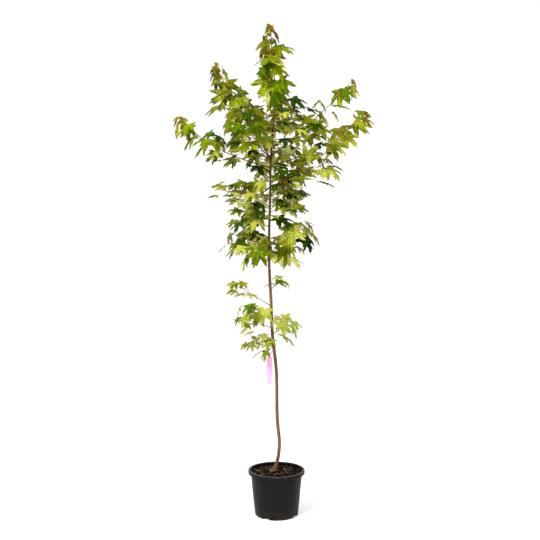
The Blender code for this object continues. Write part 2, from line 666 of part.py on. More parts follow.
def notch_cutter():
    """Blocks across the corner of wall and floor, one for each drainage notch."""
    shape = bmesh.new()
    reach = POT_BASE_RADIUS + NOTCH_DEPTH
    for n in range(NOTCHES):
        block = bmesh.ops.create_cube(shape, size=1.0)["verts"]
        bmesh.ops.scale(shape, verts=block, vec=(2 * NOTCH_DEPTH, NOTCH_WIDTH, 2 * NOTCH_HEIGHT))
        bmesh.ops.translate(shape, verts=block, vec=(reach - NOTCH_DEPTH, 0, 0))
        turn = Matrix.Rotation(NOTCH_TURN + n * 2 * math.pi / NOTCHES, 3, "Z")
        bmesh.ops.rotate(shape, verts=block, cent=(0, 0, 0), matrix=turn)
    mesh = bpy.data.meshes.new("notch_cutter")
    shape.to_mesh(mesh)
    shape.free()
    cutter = bpy.data.objects.new("notch_cutter", mesh)
    bpy.context.scene.collection.objects.link(cutter)
    cutter.hide_render = True
    cutter.display_type = "WIRE"
    return cutter


def soil():
    """The bark mix fills the pot to just under the lip, and is level round the trunk's foot."""
    inset = POT_WALL + GAP
    edge = SOIL_TOP - SOIL_FALL
    profile = [(0.0, POT_FLOOR + GAP), (POT_BASE_RADIUS - inset, POT_FLOOR + GAP)]
    profile += [(POT_BASE_RADIUS - inset, BASE_ROUNDING), (wall_radius(edge) - inset, edge)]
    profile += [(SOIL_SHOULDER, SOIL_TOP), (0.0, SOIL_TOP)]
    return add_object("soil", turned("soil", profile), BARK_MIX, 0.95)


def box_solid(middle, along, across, thick):
    """A box from its middle and three half-edges, in right-hand order."""
    corners = [(a, b, c) for c in (-1, 1) for a, b in ((-1, -1), (1, -1), (1, 1), (-1, 1))]
    points = np.array([middle + a * along + b * across + c * thick for a, b, c in corners])
    faces = [(0, 3, 2, 1), (4, 5, 6, 7), (0, 1, 5, 4), (1, 2, 6, 5), (2, 3, 7, 6), (3, 0, 4, 7)]
    return points, faces


def label():
    """A loop round the trunk with its strap, and the blank strip that hangs from it."""
    middle, _, radius = on_trunk(LOOP_HEIGHT)
    inner = (radius + GAP) / math.cos(math.pi / TRUNK_SIDES)
    outer = inner + LOOP_WALL
    half = 0.5 * LOOP_BAND
    angles = np.arange(TRUNK_SIDES) * 2 * math.pi / TRUNK_SIDES
    ring = [(inner, -half), (outer, -half), (outer, half), (inner, half)]
    points = [middle + np.array((r * math.cos(a), r * math.sin(a), z)) for a in angles for r, z in ring]
    faces = []
    for s in range(TRUNK_SIDES):
        here, there = 4 * s, 4 * ((s + 1) % TRUNK_SIDES)
        for c in range(4):
            d = (c + 1) % 4
            faces.append((here + c, there + c, there + d, here + d))
    start = middle - np.array((outer + 0.2 * STRAP_WIDTH, 0, 0))
    end = np.array((STRIP_X, middle[1], STRIP_TOP + STRAP_WIDTH))
    run = 0.5 * (end - start)
    thick = np.array((0, 0.5 * STRAP_THICKNESS, 0))
    strap = box_solid(start + run, run, unit(np.cross(thick, run)) * 0.5 * STRAP_WIDTH, thick)
    fuse("label_loop", [(np.array(points), faces), strap], LOOP_PINK, 0.40)
    hang = np.array((0, 0, -0.5 * STRIP_LENGTH))
    wide = np.array((0.5 * STRIP_WIDTH, 0, 0))
    front = middle[1] - 0.5 * (STRAP_THICKNESS + STRIP_THICKNESS) - GAP
    strip_middle = np.array((STRIP_X, front, STRIP_TOP + 2 * STRAP_WIDTH)) + hang
    strip = box_solid(strip_middle, wide, hang, np.array((0, 0.5 * STRIP_THICKNESS, 0)))
    strip_object = add_object("label_strip", solid_mesh("label_strip", strip), LABEL_PINK, 0.45)
    corners = strip_object.modifiers.new("corners", "BEVEL")
    corners.width = 0.2 * STRIP_WIDTH
    corners.segments = 1
    corners.limit_method = "ANGLE"


def build():
    for old in list(bpy.data.objects):
        bpy.data.objects.remove(old)
    pot()
    soil()
    add_object("trunk", solid_mesh("trunk", trunk_solid()), BARK_BROWN, 0.80)
    for shoot in SHOOTS:
        if shoot.bough:
            name = shoot.name + "_bough"
            add_object(name, solid_mesh(name, limb_solid(shoot)), SHOOT_RED, 0.65)
    for name, solids in grow_crown(SHOOTS).items():
        fuse(name + "_leaves", solids, LEAF_GREEN, 0.50)
    label()


build()
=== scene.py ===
# %% [markdown]
# # A young freeman maple in its nursery pot
#
# This lesson dresses a plain CAD model of a potted tree. The CAD model gives every length: where the
# trunk stands, how far each bough reaches and where each leaf hangs. Blender gives what an eye looks for:
# bark, toothed leaves, red leaf stalks, bark chips on the soil and the dull shine of a black pot.

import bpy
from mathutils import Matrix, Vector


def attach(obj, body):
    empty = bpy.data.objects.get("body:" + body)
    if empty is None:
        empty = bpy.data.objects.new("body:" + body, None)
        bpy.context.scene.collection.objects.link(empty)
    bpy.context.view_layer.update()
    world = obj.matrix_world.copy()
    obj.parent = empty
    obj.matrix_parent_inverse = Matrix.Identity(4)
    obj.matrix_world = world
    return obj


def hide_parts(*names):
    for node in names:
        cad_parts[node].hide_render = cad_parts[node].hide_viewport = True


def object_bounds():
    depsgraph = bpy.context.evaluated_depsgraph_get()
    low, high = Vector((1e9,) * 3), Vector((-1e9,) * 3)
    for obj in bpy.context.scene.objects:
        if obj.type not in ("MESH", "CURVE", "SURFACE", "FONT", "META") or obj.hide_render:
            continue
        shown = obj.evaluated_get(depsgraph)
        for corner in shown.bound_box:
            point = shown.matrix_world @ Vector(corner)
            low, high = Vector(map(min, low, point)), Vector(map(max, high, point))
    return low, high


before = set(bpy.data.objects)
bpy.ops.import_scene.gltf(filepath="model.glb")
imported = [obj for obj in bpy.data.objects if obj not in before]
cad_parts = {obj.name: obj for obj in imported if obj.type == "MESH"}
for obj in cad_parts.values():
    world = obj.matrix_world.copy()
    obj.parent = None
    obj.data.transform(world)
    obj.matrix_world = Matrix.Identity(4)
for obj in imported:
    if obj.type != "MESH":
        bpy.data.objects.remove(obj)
CAD_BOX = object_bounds()
print("CAD box, lowest and highest corner:", CAD_BOX)

# %% The rest of the tools that this lesson uses
import math
import random
from collections import namedtuple

import bpy
import numpy as np
from mathutils import Vector, geometry
from mathutils.bvhtree import BVHTree

UP = np.array((0.0, 0.0, 1.0))
TURN = 2 * math.pi

# %% [markdown]
# ## The camera
# The picture that we follow was taken with a level camera a little over three metres away and 1.2 metres
# up. The ovals of the pot's lip and foot tell that height. A level camera keeps upright lines upright, so
# we aim it straight along +Y and set only its place and its lens.

# %% Camera
CAMERA_PLACE = (-0.032, -3.38, 1.2035)
SENSOR = 36.0                 # mm
FOCAL_PIXELS = 683.0          # the lens in pixels of a picture 540 pixels wide
PICTURE_PIXELS = 540


def put(name, data):
    """An object for a camera, a lamp or a mesh, linked to the scene."""
    thing = bpy.data.objects.new(name, data)
    bpy.context.scene.collection.objects.link(thing)
    return thing


lens = bpy.data.cameras.new("camera")
lens.sensor_width = SENSOR
lens.lens = SENSOR * FOCAL_PIXELS / PICTURE_PIXELS
camera = put("camera", lens)
camera.location = CAMERA_PLACE
camera.rotation_euler = (math.radians(90), 0, 0)
bpy.context.scene.camera = camera
print("lens in mm:", round(lens.lens, 2))

# %% [markdown]
# ## Shader maths as plain expressions
# A material in Blender is a graph of nodes. Long graphs of Math nodes are hard to read, so we wrap a
# socket in a small class whose + - * / add the Math nodes for us. `1 - mask` works too, because the
# reflected forms are there. Every other kind of node comes from one method, `add`: it takes the type of
# the node, its settings, and the values or links of its sockets.


# %% One number that a node gives
def operator(operation, swapped=False):
    """A method that adds one kind of Math node. swapped puts the other value first."""
    def method(number, *other):
        values = (*other, number) if swapped else (number, *other)
        settings = {"operation": operation}
        return number.finish.add("ShaderNodeMath", settings, dict(enumerate(values)))
    return method


class Number:
    """A node's output. Sums, products and powers of such outputs add Math nodes."""

    def __init__(self, finish, socket):
        self.finish, self.socket = finish, socket

    __add__ = __radd__ = operator("ADD")
    __sub__, __rsub__ = operator("SUBTRACT"), operator("SUBTRACT", swapped=True)
    __mul__ = __rmul__ = operator("MULTIPLY")
    __pow__, __abs__ = operator("POWER"), operator("ABSOLUTE")
    least, most, sine = operator("MINIMUM"), operator("MAXIMUM"), operator("SINE")


# %% One material, and the one method that adds a node to it
class Finish:
    """A material built round one Principled shader."""

    def __init__(self, name, **constants):
        self.material = bpy.data.materials.new(name)
        self.material.use_nodes = True
        self.nodes = self.material.node_tree.nodes
        self.shader = self.nodes["Principled BSDF"]
        for socket, value in constants.items():
            self.shader.inputs[socket.replace("_", " ")].default_value = value

    def link(self, value, socket):
        if isinstance(value, Number):
            self.material.node_tree.links.new(value.socket, socket)
        else:
            socket.default_value = value

    def add(self, kind, settings=None, values=None, output=0):
        """A node of any type: its settings first, then the values or links of its sockets."""
        node = self.nodes.new(kind)
        for setting, value in (settings or {}).items():
            setattr(node, setting, value)
        for socket, value in (values or {}).items():
            self.link(value, node.inputs[socket])
        return Number(self, node.outputs[output])

    def set(self, **values):
        """Links what changes over the surface to the Principled shader."""
        for socket, value in values.items():
            self.link(value, self.shader.inputs[socket.replace("_", " ")])

    def place(self, axis=None):
        """The point on the piece in metres, or one of its axes: 0, 1 or 2."""
        point = self.add("ShaderNodeTexCoord", output="Object")
        return point if axis is None else self.part(point, axis)

    def part(self, point, axis):
        return self.add("ShaderNodeSeparateXYZ", None, {0: point}, output=axis)

    def noise(self, scale, detail=2.0, rough=0.5, stretch=None):
        """A soft pattern. stretch squeezes it along x, y and z."""
        point = self.place()
        if stretch:
            point = self.add("ShaderNodeMapping", None, {"Vector": point, "Scale": stretch})
        values = {"Vector": point, "Scale": scale, "Detail": detail, "Roughness": rough}
        return self.add("ShaderNodeTexNoise", None, values)

    def step(self, value, low, high):
        """0 under low, 1 over high, and a smooth rise between them."""
        values = {"Value": value, "From Min": low, "From Max": high}
        return self.add("ShaderNodeMapRange", {"interpolation_type": "SMOOTHSTEP"}, values)

    def mix(self, factor, *colours):
        """The first colour where the factor is 0, the second where it is 1: codes or links."""
        first, second = (paint(c) if isinstance(c, str) else c for c in colours)
        values = {"Factor": factor, 6: first, 7: second}
        return self.add("ShaderNodeMix", {"data_type": "RGBA"}, values, output=2)

    def bump(self, height, depth):
        """The height, times the depth in metres, felt by the light."""
        self.set(Normal=self.add("ShaderNodeBump", None, {"Height": height, "Distance": depth}))


def paint(code):
    """A colour's sRGB code as the linear values that a shader reads."""
    shares = [int(code[i:i + 2], 16) / 255 for i in (1, 3, 5)]
    return (*[((s + 0.055) / 1.055) ** 2.4 if s > 0.04045 else s / 12.92 for s in shares], 1.0)


# %% [markdown]
# ## From arrays to a mesh
# All the shapes below are worked out as whole numpy arrays: every point of a surface at once. One
# function puts such arrays into a mesh. It also says which body of the CAD model the piece belongs to:
# the tree and its pot are one body, called root.

# %% Putting arrays into a mesh
def make_piece(name, points, faces, finishes, slot, replaces=(), face_finish=None, uv=None, crease=None):
    """A mesh object from points (n, 3) and triangles (m, 3). face_finish numbers the finish of each face,
    uv gives each point a place on a flat map, and an edge that turns more than crease degrees is sharp."""
    mesh = bpy.data.meshes.new(name)
    mesh.vertices.add(len(points))
    mesh.vertices.foreach_set("co", np.ascontiguousarray(points, dtype=np.float32).ravel())
    mesh.loops.add(faces.size)
    mesh.loops.foreach_set("vertex_index", np.ascontiguousarray(faces, dtype=np.int32).ravel())
    mesh.polygons.add(len(faces))
    mesh.polygons.foreach_set("loop_start", np.arange(len(faces), dtype=np.int32) * faces.shape[1])
    for finish in finishes:
        mesh.materials.append(finish.material)
    if face_finish is not None:
        mesh.polygons.foreach_set("material_index", face_finish.astype(np.int32))
    if uv is not None:
        mesh.uv_layers.new(name="blade").data.foreach_set("uv", uv[faces].astype(np.float32).ravel())
    mesh.update(calc_edges=True)
    mesh.shade_smooth()
    if crease:
        mesh.set_sharp_from_angle(angle=math.radians(crease))
    piece = put(name, mesh)
    if slot:
        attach(piece, "root")
        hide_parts(*replaces)
    print(name, "points", len(points), "faces", len(faces))
    return piece


# %% Small helpers for arrays of vectors
def unit(vectors):
    return vectors / np.linalg.norm(vectors, axis=-1, keepdims=True)


def ripple(points, size, seed, waves=14):
    """Soft unevenness between about -1 and 1, with humps of about the size given: the sum of many sines,
    each along its own seeded direction and with its own start."""
    rng = np.random.default_rng(seed)
    ways = unit(rng.normal(size=(waves, 3))) * (math.pi / size) * rng.uniform(0.6, 1.4, (waves, 1))
    return np.sin(points @ ways.T + rng.uniform(0, TURN, waves)).sum(axis=-1) * math.sqrt(2 / waves) / 1.6


def rings_round(path, radius, reference=UP):
    """Rings of points round a path: middle + radius * (cos a * side + sin a * other). side is square to the
    path and to the reference, and other to both. path is (..., rings, 3), radius is (..., rings, k)."""
    run = unit(np.gradient(path, axis=-2))
    side = unit(np.cross(run, reference))
    other = np.cross(run, side)
    a = np.arange(radius.shape[-1]) * TURN / radius.shape[-1]
    spokes = np.cos(a)[:, None] * side[..., None, :] + np.sin(a)[:, None] * other[..., None, :]
    return path[..., None, :] + radius[..., None] * spokes


def grid_faces(rows, columns, join_rows=False, join_columns=False):
    """Two triangles for each cell of a grid of points. Where joined, the last row or column meets the
    first."""
    steps = np.arange(rows - (not join_rows)), np.arange(columns - (not join_columns))
    r, c = np.meshgrid(*steps, indexing="ij")
    below, beside = (r + 1) % rows * columns, (c + 1) % columns
    a, b, far, down = r * columns + c, r * columns + beside, below + beside, below + c
    return np.concatenate([np.stack([a, b, far], -1), np.stack([a, far, down], -1)]).reshape(-1, 3)


def ring_faces(rings, sides):
    """Triangles between neighbouring rings, and a fan from the first and the last ring to one point each.
    Those two points come after all the rings."""
    s = np.arange(sides)
    n, first, last = (s + 1) % sides, rings * sides, rings * sides + 1
    high = first - sides
    ends = [np.stack([n, s, np.full(sides, first)], -1),
            np.stack([high + s, high + n, np.full(sides, last)], -1)]
    return np.concatenate([grid_faces(rings, sides, join_columns=True), *ends])


def tubes(paths, radii, sides, reference=UP):
    """Closed tubes along many paths of equal length at once, as points and triangles."""
    grid = rings_round(paths, np.repeat(radii[..., None], sides, axis=-1), reference)
    count, rings = paths.shape[:2]
    points = np.concatenate([grid.reshape(count, -1, 3), paths[:, :1], paths[:, -1:]], axis=1)
    return points.reshape(-1, 3), many(ring_faces(rings, sides), count, points.shape[1])


def many(faces, count, stride):
    """The faces of one shape, repeated for count copies whose points follow one another."""
    return (faces[None] + stride * np.arange(count)[:, None, None]).reshape(-1, faces.shape[-1])


def joined(*parts):
    """Several (points, faces) as one."""
    starts = np.cumsum([0] + [len(points) for points, _ in parts[:-1]])
    faces = np.concatenate([faces + start for (_, faces), start in zip(parts, starts)])
    return np.concatenate([points for points, _ in parts]), faces


def carried_round(profile, steps):
    """A profile's (radius, height) carried round the upright axis: radius * (cos a, sin a) and height."""
    angle = np.arange(steps) * TURN / steps
    radius, height = profile[:, :1], profile[:, 1:]
    return np.stack([radius * np.cos(angle), radius * np.sin(angle), height + 0 * angle], -1)


def turned(profile, steps, unevenness=0.0, seed=1):
    """A closed solid from a profile whose first and last points lie on the upright axis. Its radius strays
    a little by a soft ripple."""
    ring = carried_round(profile[1:-1], steps)
    level = np.array((1.0, 1.0, 0.0))
    ring = ring * (1 + level * unevenness * ripple(ring, 0.06, seed)[..., None])
    ends = carried_round(profile[[0, -1]], 1)[:, 0]
    return np.concatenate([ring.reshape(-1, 3), ends]), ring_faces(len(profile) - 2, steps)


def arc(middle, radius, start, end, steps):
    """(radius, height) of points on an arc, its angles in degrees."""
    turn = np.radians(np.linspace(start, end, steps))
    return np.array(middle) + radius * np.stack([np.cos(turn), np.sin(turn)], -1)


# %% [markdown]
# ## The room
# A plant looks like itself in broad, soft light. The room is one pale bowl: a flat floor that curves up
# into a wall on all sides, so no corner and no horizon shows behind the tree from any view. It is a
# profile, given by its radius and height, that is carried round the upright axis.

# %% Floor and lights
FLOOR_RADIUS, BOWL_BEND, WALL_TOP = 5.5, 3.0, 9.0
ROOM_SIDES = 96
bowl = np.concatenate([[(0.0, 0.0), (0.02, 0.0), (FLOOR_RADIUS * 0.5, 0.0)],
                       arc((FLOOR_RADIUS, BOWL_BEND), BOWL_BEND, -90, 0, 16),
                       [(FLOOR_RADIUS + BOWL_BEND, WALL_TOP), (0.0, WALL_TOP)]])
bowl_points, bowl_faces = turned(bowl, ROOM_SIDES)
pale_paint = Finish("pale_paint", Base_Color=(0.90, 0.90, 0.90, 1), Roughness=0.9)
# without the last fan of faces and its point the bowl is open, and turned over it faces inwards
room = make_piece("room", bowl_points[:-1], bowl_faces[:-ROOM_SIDES, ::-1], [pale_paint], None)

world = bpy.data.worlds.new("world")
world.use_nodes = True
sky = world.node_tree.nodes["Background"].inputs
sky["Color"].default_value = (0.97, 0.98, 1.0, 1.0)
sky["Strength"].default_value = 0.68
bpy.context.scene.world = world
bpy.context.scene.view_settings.view_transform = "Standard"


def soft_light(name, place, target, size, power):
    """A square lamp that looks from its place at the target."""
    data = bpy.data.lights.new(name, "AREA")
    data.size, data.energy = size, power
    lamp = put(name, data)
    lamp.location = place
    lamp.rotation_euler = (Vector(target) - Vector(place)).to_track_quat("-Z", "Y").to_euler()


soft_light("key_light", (-2.6, -3.2, 4.6), (0, 0, 1.3), 1.6, 480)
soft_light("side_light", (3.6, -1.4, 3.0), (0, 0, 1.2), 2.4, 70)
soft_light("back_light", (0.8, 4.2, 4.4), (0, 0, 1.2), 2.6, 120)

# %% [markdown]
# ## The trunk
# A young maple's trunk is a slender rod with a history: it leaves the soil with a crook, leans, thins
# slowly, and keeps a faint ring wherever a pair of leaves once stood. We could extrude a circle along a
# curve, but the CAD model has its rings at known heights, and a leaf has to sit on exactly that line. So we
# repeat its formulas, read them at a thousand heights, and let the radius vary round the trunk as well.

# %% The trunk's middle line and girth, as the CAD model has them
SOIL_TOP = 0.206
GAP = 0.0003                  # between the CAD model's solids
TRUNK_LINE = ((0.200, -0.0145), (0.262, 0.0060), (0.337, 0.0145), (0.450, 0.0050), (0.730, -0.0025),
              (0.860, -0.0180), (1.055, -0.0270), (1.230, -0.0360), (1.550, -0.0320), (1.800, -0.0250),
              (1.970, -0.0120), (2.150, -0.0110), (2.260, -0.0220), (2.428, -0.0300))
TRUNK_BACK, TRUNK_BACK_FADE = 0.022, 0.25
TRUNK_FOOT_RADIUS, TRUNK_TIP_RADIUS, TRUNK_TAPER = 0.0086, 0.0011, 1.75
FLARE, FLARE_FADE = 0.0048, 0.016
TRUNK_TOP, TREE_TOP = 2.040, 2.428
TRUNK_RINGS, RING_SPREAD = 34, 1.4


def smooth_line(knots, at):
    """A cubic through the knots (place, value), read at many places."""
    places, values = np.array(knots).T
    slopes = np.gradient(values, places)
    i = np.clip(np.searchsorted(places, at) - 1, 0, len(places) - 2)
    span = places[i + 1] - places[i]
    t = (at - places[i]) / span
    start = (1 + 2 * t) * (1 - t) ** 2 * values[i] + t * (1 - t) ** 2 * span * slopes[i]
    end = t * t * (3 - 2 * t) * values[i + 1] + t * t * (t - 1) * span * slopes[i + 1]
    return start + end


def trunk_line(heights):
    """The middle at each height: sideways by the smooth line, and back by a fading share at the foot."""
    back = TRUNK_BACK * np.exp(-(heights - SOIL_TOP) / TRUNK_BACK_FADE)
    return np.stack([smooth_line(TRUNK_LINE, heights), back, heights], -1)


def trunk_radius(heights):
    """A slow taper that quickens towards the top, and a flare that fades within a few centimetres."""
    share = np.clip((heights - SOIL_TOP) / (TREE_TOP - SOIL_TOP), 0.0, 1.0)
    taper = TRUNK_TIP_RADIUS + (TRUNK_FOOT_RADIUS - TRUNK_TIP_RADIUS) * (1 - share ** TRUNK_TAPER)
    return taper + FLARE * np.exp(-(heights - SOIL_TOP) / FLARE_FADE)


foot_height = SOIL_TOP + GAP
RINGS = trunk_line(foot_height + (TRUNK_TOP - foot_height) * np.linspace(0, 1, TRUNK_RINGS) ** RING_SPREAD)
RING_RADII = trunk_radius(RINGS[:, 2])
print("trunk girth at the soil and at 1.2 m, mm:", (2000 * trunk_radius(np.array([0.207, 1.2]))).round(1))


def on_trunk(height):
    """The trunk's middle, heading and radius, straight between the CAD model's rings."""
    x, y, radius = [np.interp(height, RINGS[:, 2], c) for c in (RINGS[:, 0], RINGS[:, 1], RING_RADII)]
    i = int(np.clip(np.searchsorted(RINGS[:, 2], height), 1, len(RINGS) - 1))
    return np.array((x, y, height)), unit(RINGS[i] - RINGS[i - 1]), radius


# %% [markdown]
# ## The shoots
# A tree is a few rules used many times. Each line of the table is one shoot: where it leaves the trunk,
# which way it heads, how far it reaches and rises, and how its leaves are. The same rule then grows its
# stem, its pairs of leaves and its side twigs. `seed` starts the random draws, so it grows the same way
# every time. A `bough` has a bare limb of its own before its leaves begin.

# %% The table of shoots
SHOOT_FIELDS = "name height azimuth reach rise pairs blade droop seed curl bare twigs growing bough"
Shoot = namedtuple("Shoot", SHOOT_FIELDS, defaults=(0.15, 0.25, 0, False, False))
SHOOTS = [Shoot(*row) for row in (
    ("leader", TRUNK_TOP, 0, 0.0, 0.376, 9, 0.106, 58, 212, 0.0, 0.02, 0, True),
    ("left_high", 1.76, 170, 0.285, 0.475, 6, 0.100, 46, 83, 0.10, 0.50, 1, True, True),
    ("left_forward", 1.80, 210, 0.262, 0.205, 4, 0.100, 32, 37, 0.05, 0.40, 1, False, True),
    ("left_mid", 1.71, 185, 0.450, 0.240, 6, 0.100, 34, 74, 0.50, 0.42, 1, True, True),
    ("right_high", 1.77, 5, 0.408, 0.385, 5, 0.094, 40, 39, 0.12, 0.48, 1, True, True),
    ("right_mid", 1.72, 355, 0.462, 0.258, 6, 0.098, 28, 61, 0.50, 0.32, 1, True, True),
    ("right_low", 1.62, 345, 0.285, 0.105, 4, 0.098, 14, 122, 0.10, 0.36, 1, False, True),
    ("back_high", 1.84, 80, 0.350, 0.270, 5, 0.096, 30, 104, 0.20, 0.42, 1, True, True),
    ("front_high", 1.75, 246, 0.320, 0.150, 5, 0.094, 22, 61, 0.30, 0.42, 1, False, True),
    ("upper_right", 1.95, 340, 0.137, 0.047, 3, 0.096, 8, 78),
    ("upper_left", 1.94, 155, 0.128, 0.056, 3, 0.092, 10, 12),
    ("upper_back", 1.92, 100, 0.150, 0.090, 2, 0.090, 16, 16),
    ("upper_front", 1.90, 300, 0.130, 0.030, 2, 0.090, 18, 55),
    ("inner_right_back", 1.82, 30, 0.197, 0.079, 3, 0.096, 12, 27, 0.15, 0.25, 1),
    ("inner_right_front", 1.80, 305, 0.171, 0.080, 3, 0.094, 14, 83, 0.15, 0.25, 1),
    ("inner_left_back", 1.81, 150, 0.189, 0.074, 3, 0.096, 12, 51, 0.15, 0.25, 1),
    ("inner_left_front", 1.74, 215, 0.190, 0.030, 3, 0.096, 14, 98, 0.15, 0.25, 1),
    ("inner_right", 1.70, 15, 0.165, 0.048, 3, 0.096, 16, 48, 0.15, 0.25, 1),
    ("inner_back", 1.73, 105, 0.200, 0.110, 3, 0.094, 18, 98, 0.15, 0.25, 1),
    ("side_left", 1.56, 190, 0.245, 0.035, 4, 0.084, 16, 63, 0.15, 0.30, 1),
    ("side_left_back", 1.55, 145, 0.180, 0.070, 3, 0.092, 20, 111),
    ("side_right", 1.57, 20, 0.140, 0.055, 3, 0.096, 18, 15, 0.15, 0.25, 1),
    ("side_right_front", 1.49, 315, 0.135, 0.035, 3, 0.092, 18, 39),
    ("side_front", 1.58, 292, 0.210, 0.050, 3, 0.092, 22, 82, 0.15, 0.25, 1),
    ("side_back", 1.50, 75, 0.230, 0.110, 3, 0.092, 22, 48, 0.15, 0.25, 1),
    ("waist_left", 1.42, 170, 0.145, 0.051, 3, 0.092, 28, 145),
    ("waist_front", 1.46, 240, 0.130, 0.040, 3, 0.090, 28, 87),
    ("waist_right", 1.36, 350, 0.180, 0.050, 4, 0.100, 42, 19),
    ("low_left", 1.30, 190, 0.185, 0.050, 3, 0.100, 54, 138),
    ("low_right", 1.27, 35, 0.140, 0.045, 3, 0.094, 44, 55),
    ("low_front", 1.32, 232, 0.150, 0.030, 3, 0.090, 38, 178),
    ("low_back", 1.27, 85, 0.145, 0.065, 3, 0.090, 38, 136),
    ("foot_left_high", 1.03, 168, 0.175, 0.105, 3, 0.066, 26, 40, 0.10, 0.50),
    ("foot_left", 0.96, 200, 0.125, 0.058, 3, 0.080, 37, 137),
    ("foot_left_back", 0.92, 165, 0.150, 0.045, 2, 0.074, 24, 103, 0.15, 0.55),
    ("foot_right", 0.89, 330, 0.090, 0.060, 3, 0.082, 40, 49),
    ("foot_right_back", 1.11, 45, 0.070, 0.040, 2, 0.070, 34, 62),
    ("foot_last", 0.825, 222, 0.045, 0.022, 2, 0.066, 50, 17),
    ("foot_low", 0.84, 190, 0.110, 0.026, 3, 0.070, 34, 85),
)]
STEM_FOOT, STEM_TIP, BOUGH_FOOT = 0.0024, 0.0017, 0.0034
WOOD_TAPER = 0.8


def outward(shoot):
    """The shoot's level heading, and the same laid square to the trunk where it leaves the bark."""
    angle = math.radians(shoot.azimuth)
    level = np.array((math.cos(angle), math.sin(angle), 0.0))
    upward = on_trunk(shoot.height)[1]
    return level, unit(level - upward * upward.dot(level))


def shoot_path(shoot, points=25):
    """From the bark to the tip: even steps outward, and a rise that comes later by curl."""
    if not shoot.reach:
        return trunk_line(np.linspace(shoot.height, shoot.height + shoot.rise, points))
    t = np.linspace(0, 1, points)[:, None]
    middle, _, radius = on_trunk(shoot.height)
    level, square = outward(shoot)
    lift = shoot.rise * ((1 - shoot.curl) * t + shoot.curl * t ** 3)
    return middle + square * (radius + GAP) + level * (shoot.reach - radius) * t + UP * lift


def lengths(path):
    """How long a path is up to each of its points."""
    return np.concatenate([[0.0], np.cumsum(np.linalg.norm(np.diff(path, axis=0), axis=1))])


def read_path(path, share):
    """The point and the heading at a share of a path's length."""
    run = lengths(path)
    at = share * run[-1]
    i = int(np.clip(np.searchsorted(run, at) - 1, 0, len(path) - 2))
    t = (at - run[i]) / (run[i + 1] - run[i])
    return path[i] * (1 - t) + path[i + 1] * t, unit(path[i + 1] - path[i])


def wood_radius(shoot, share):
    """A bough is stouter at its foot, and the leader goes on from the trunk's own girth."""
    foot = BOUGH_FOOT if shoot.bough else STEM_FOOT
    if not shoot.reach:
        foot = trunk_radius(shoot.height)
    return foot + (STEM_TIP - foot) * share ** WOOD_TAPER


print(len(SHOOTS), "shoots,", sum(shoot.bough for shoot in SHOOTS), "of them boughs")

# %% [markdown]
# ## The leaves' places
# Each leaf of the CAD model was drawn from a key: its shoot, its pair and its side. A draw that touched
# something was thrown away and the next one tried. We don't need to repeat those tests. We make the same
# draws in the same order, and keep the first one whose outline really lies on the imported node. So every
# leaf of the picture hangs just where its solid does.

# %% How a leaf is drawn
LOBES = ((0, 1.00), (24, 0.52), (46, 0.88), (74, 0.40), (104, 0.56))
HUB = 0.20
TRIES = 24
PAIR_STEP = 0.0024
STALK_ANGLE, GROWING_STALK_ANGLE, GROWING_STALK = 58, 42, 0.55
STALK_LENGTH, STALK_FALL, STALK_LIFT, STALK_SPREAD = (0.50, 0.90), 0.10, 0.20, 0.14
ROLL_SPREAD, TURN_SPREAD, PITCH_SPREAD, TILT_SPREAD = 0.30, 0.35, 0.28, 0.32
HEADING_PULL = 0.3
LEAF_SAG, LEAF_SIZE = (0.132, 0.396), (0.86, 1.10)
LEADER_TIP, GROWING_TIP, RESTING_TIP = (0.40, 0.56, 0.84), (0.46, 0.84), (0.70, 0.92)
YOUNG_DROOP, YOUNG_WIDTH, MOST_DROOP = (26, 20, 12), (0.60, 0.74, 0.88), 84
BOUGH_LEAF_START, LAST_PAIR = 0.04, 0.985
GROWING_CROWD, RESTING_CROWD = 1.45, 1.15
TWIG_LENGTH = (0.8, 1.3)
TWIG_AWAY, TWIG_ALONG, TWIG_LIFT = 0.75, 0.65, 0.15
SIDE_TWIG_PAIRS = ((0.55, 0.85), (0.97, 0.75))

Leaf = namedtuple("Leaf", "root foot midrib face size sag width")
Bud = namedtuple("Bud", "size droop width growing")


def across_twig(heading, roll):
    """The direction square to a twig at a roll round it."""
    side = np.cross(heading, UP)
    side = unit(side) if np.linalg.norm(side) > 0.05 else np.array((1.0, 0.0, 0.0))
    return math.cos(roll) * side + math.sin(roll) * np.cross(side, heading)


def draw_leaf(place, heading, roll, bud, key):
    """One draw: the stalk leaves the twig at an angle, and the blade hangs by droop."""
    rng = random.Random(key)
    roll += rng.gauss(0, ROLL_SPREAD)
    away = across_twig(heading, roll)
    scatter = np.array([rng.gauss(0, STALK_SPREAD) for _ in range(3)])
    angle = math.radians(GROWING_STALK_ANGLE if bud.growing else STALK_ANGLE)
    stalk = unit(math.sin(angle) * away + math.cos(angle) * heading + STALK_LIFT * UP + scatter)
    length = bud.size * rng.uniform(*STALK_LENGTH) * (GROWING_STALK if bud.growing else 1.0)
    foot = place + stalk * length - UP * length * STALK_FALL
    ahead = stalk + HEADING_PULL * heading
    turn = math.atan2(ahead[1], ahead[0]) + rng.gauss(0, TURN_SPREAD)
    level = np.array((math.cos(turn), math.sin(turn), 0.0))
    pitch = math.radians(bud.droop) + rng.gauss(0, PITCH_SPREAD)
    midrib = level * math.cos(pitch) - UP * math.sin(pitch)
    face = level * math.sin(pitch) + UP * math.cos(pitch)
    tilt = rng.gauss(0, TILT_SPREAD)
    face = face * math.cos(tilt) + np.cross(face, midrib) * math.sin(tilt)
    sag = rng.uniform(*LEAF_SAG)
    return Leaf(place, foot, midrib, face, bud.size * rng.uniform(*LEAF_SIZE), sag, bud.width)


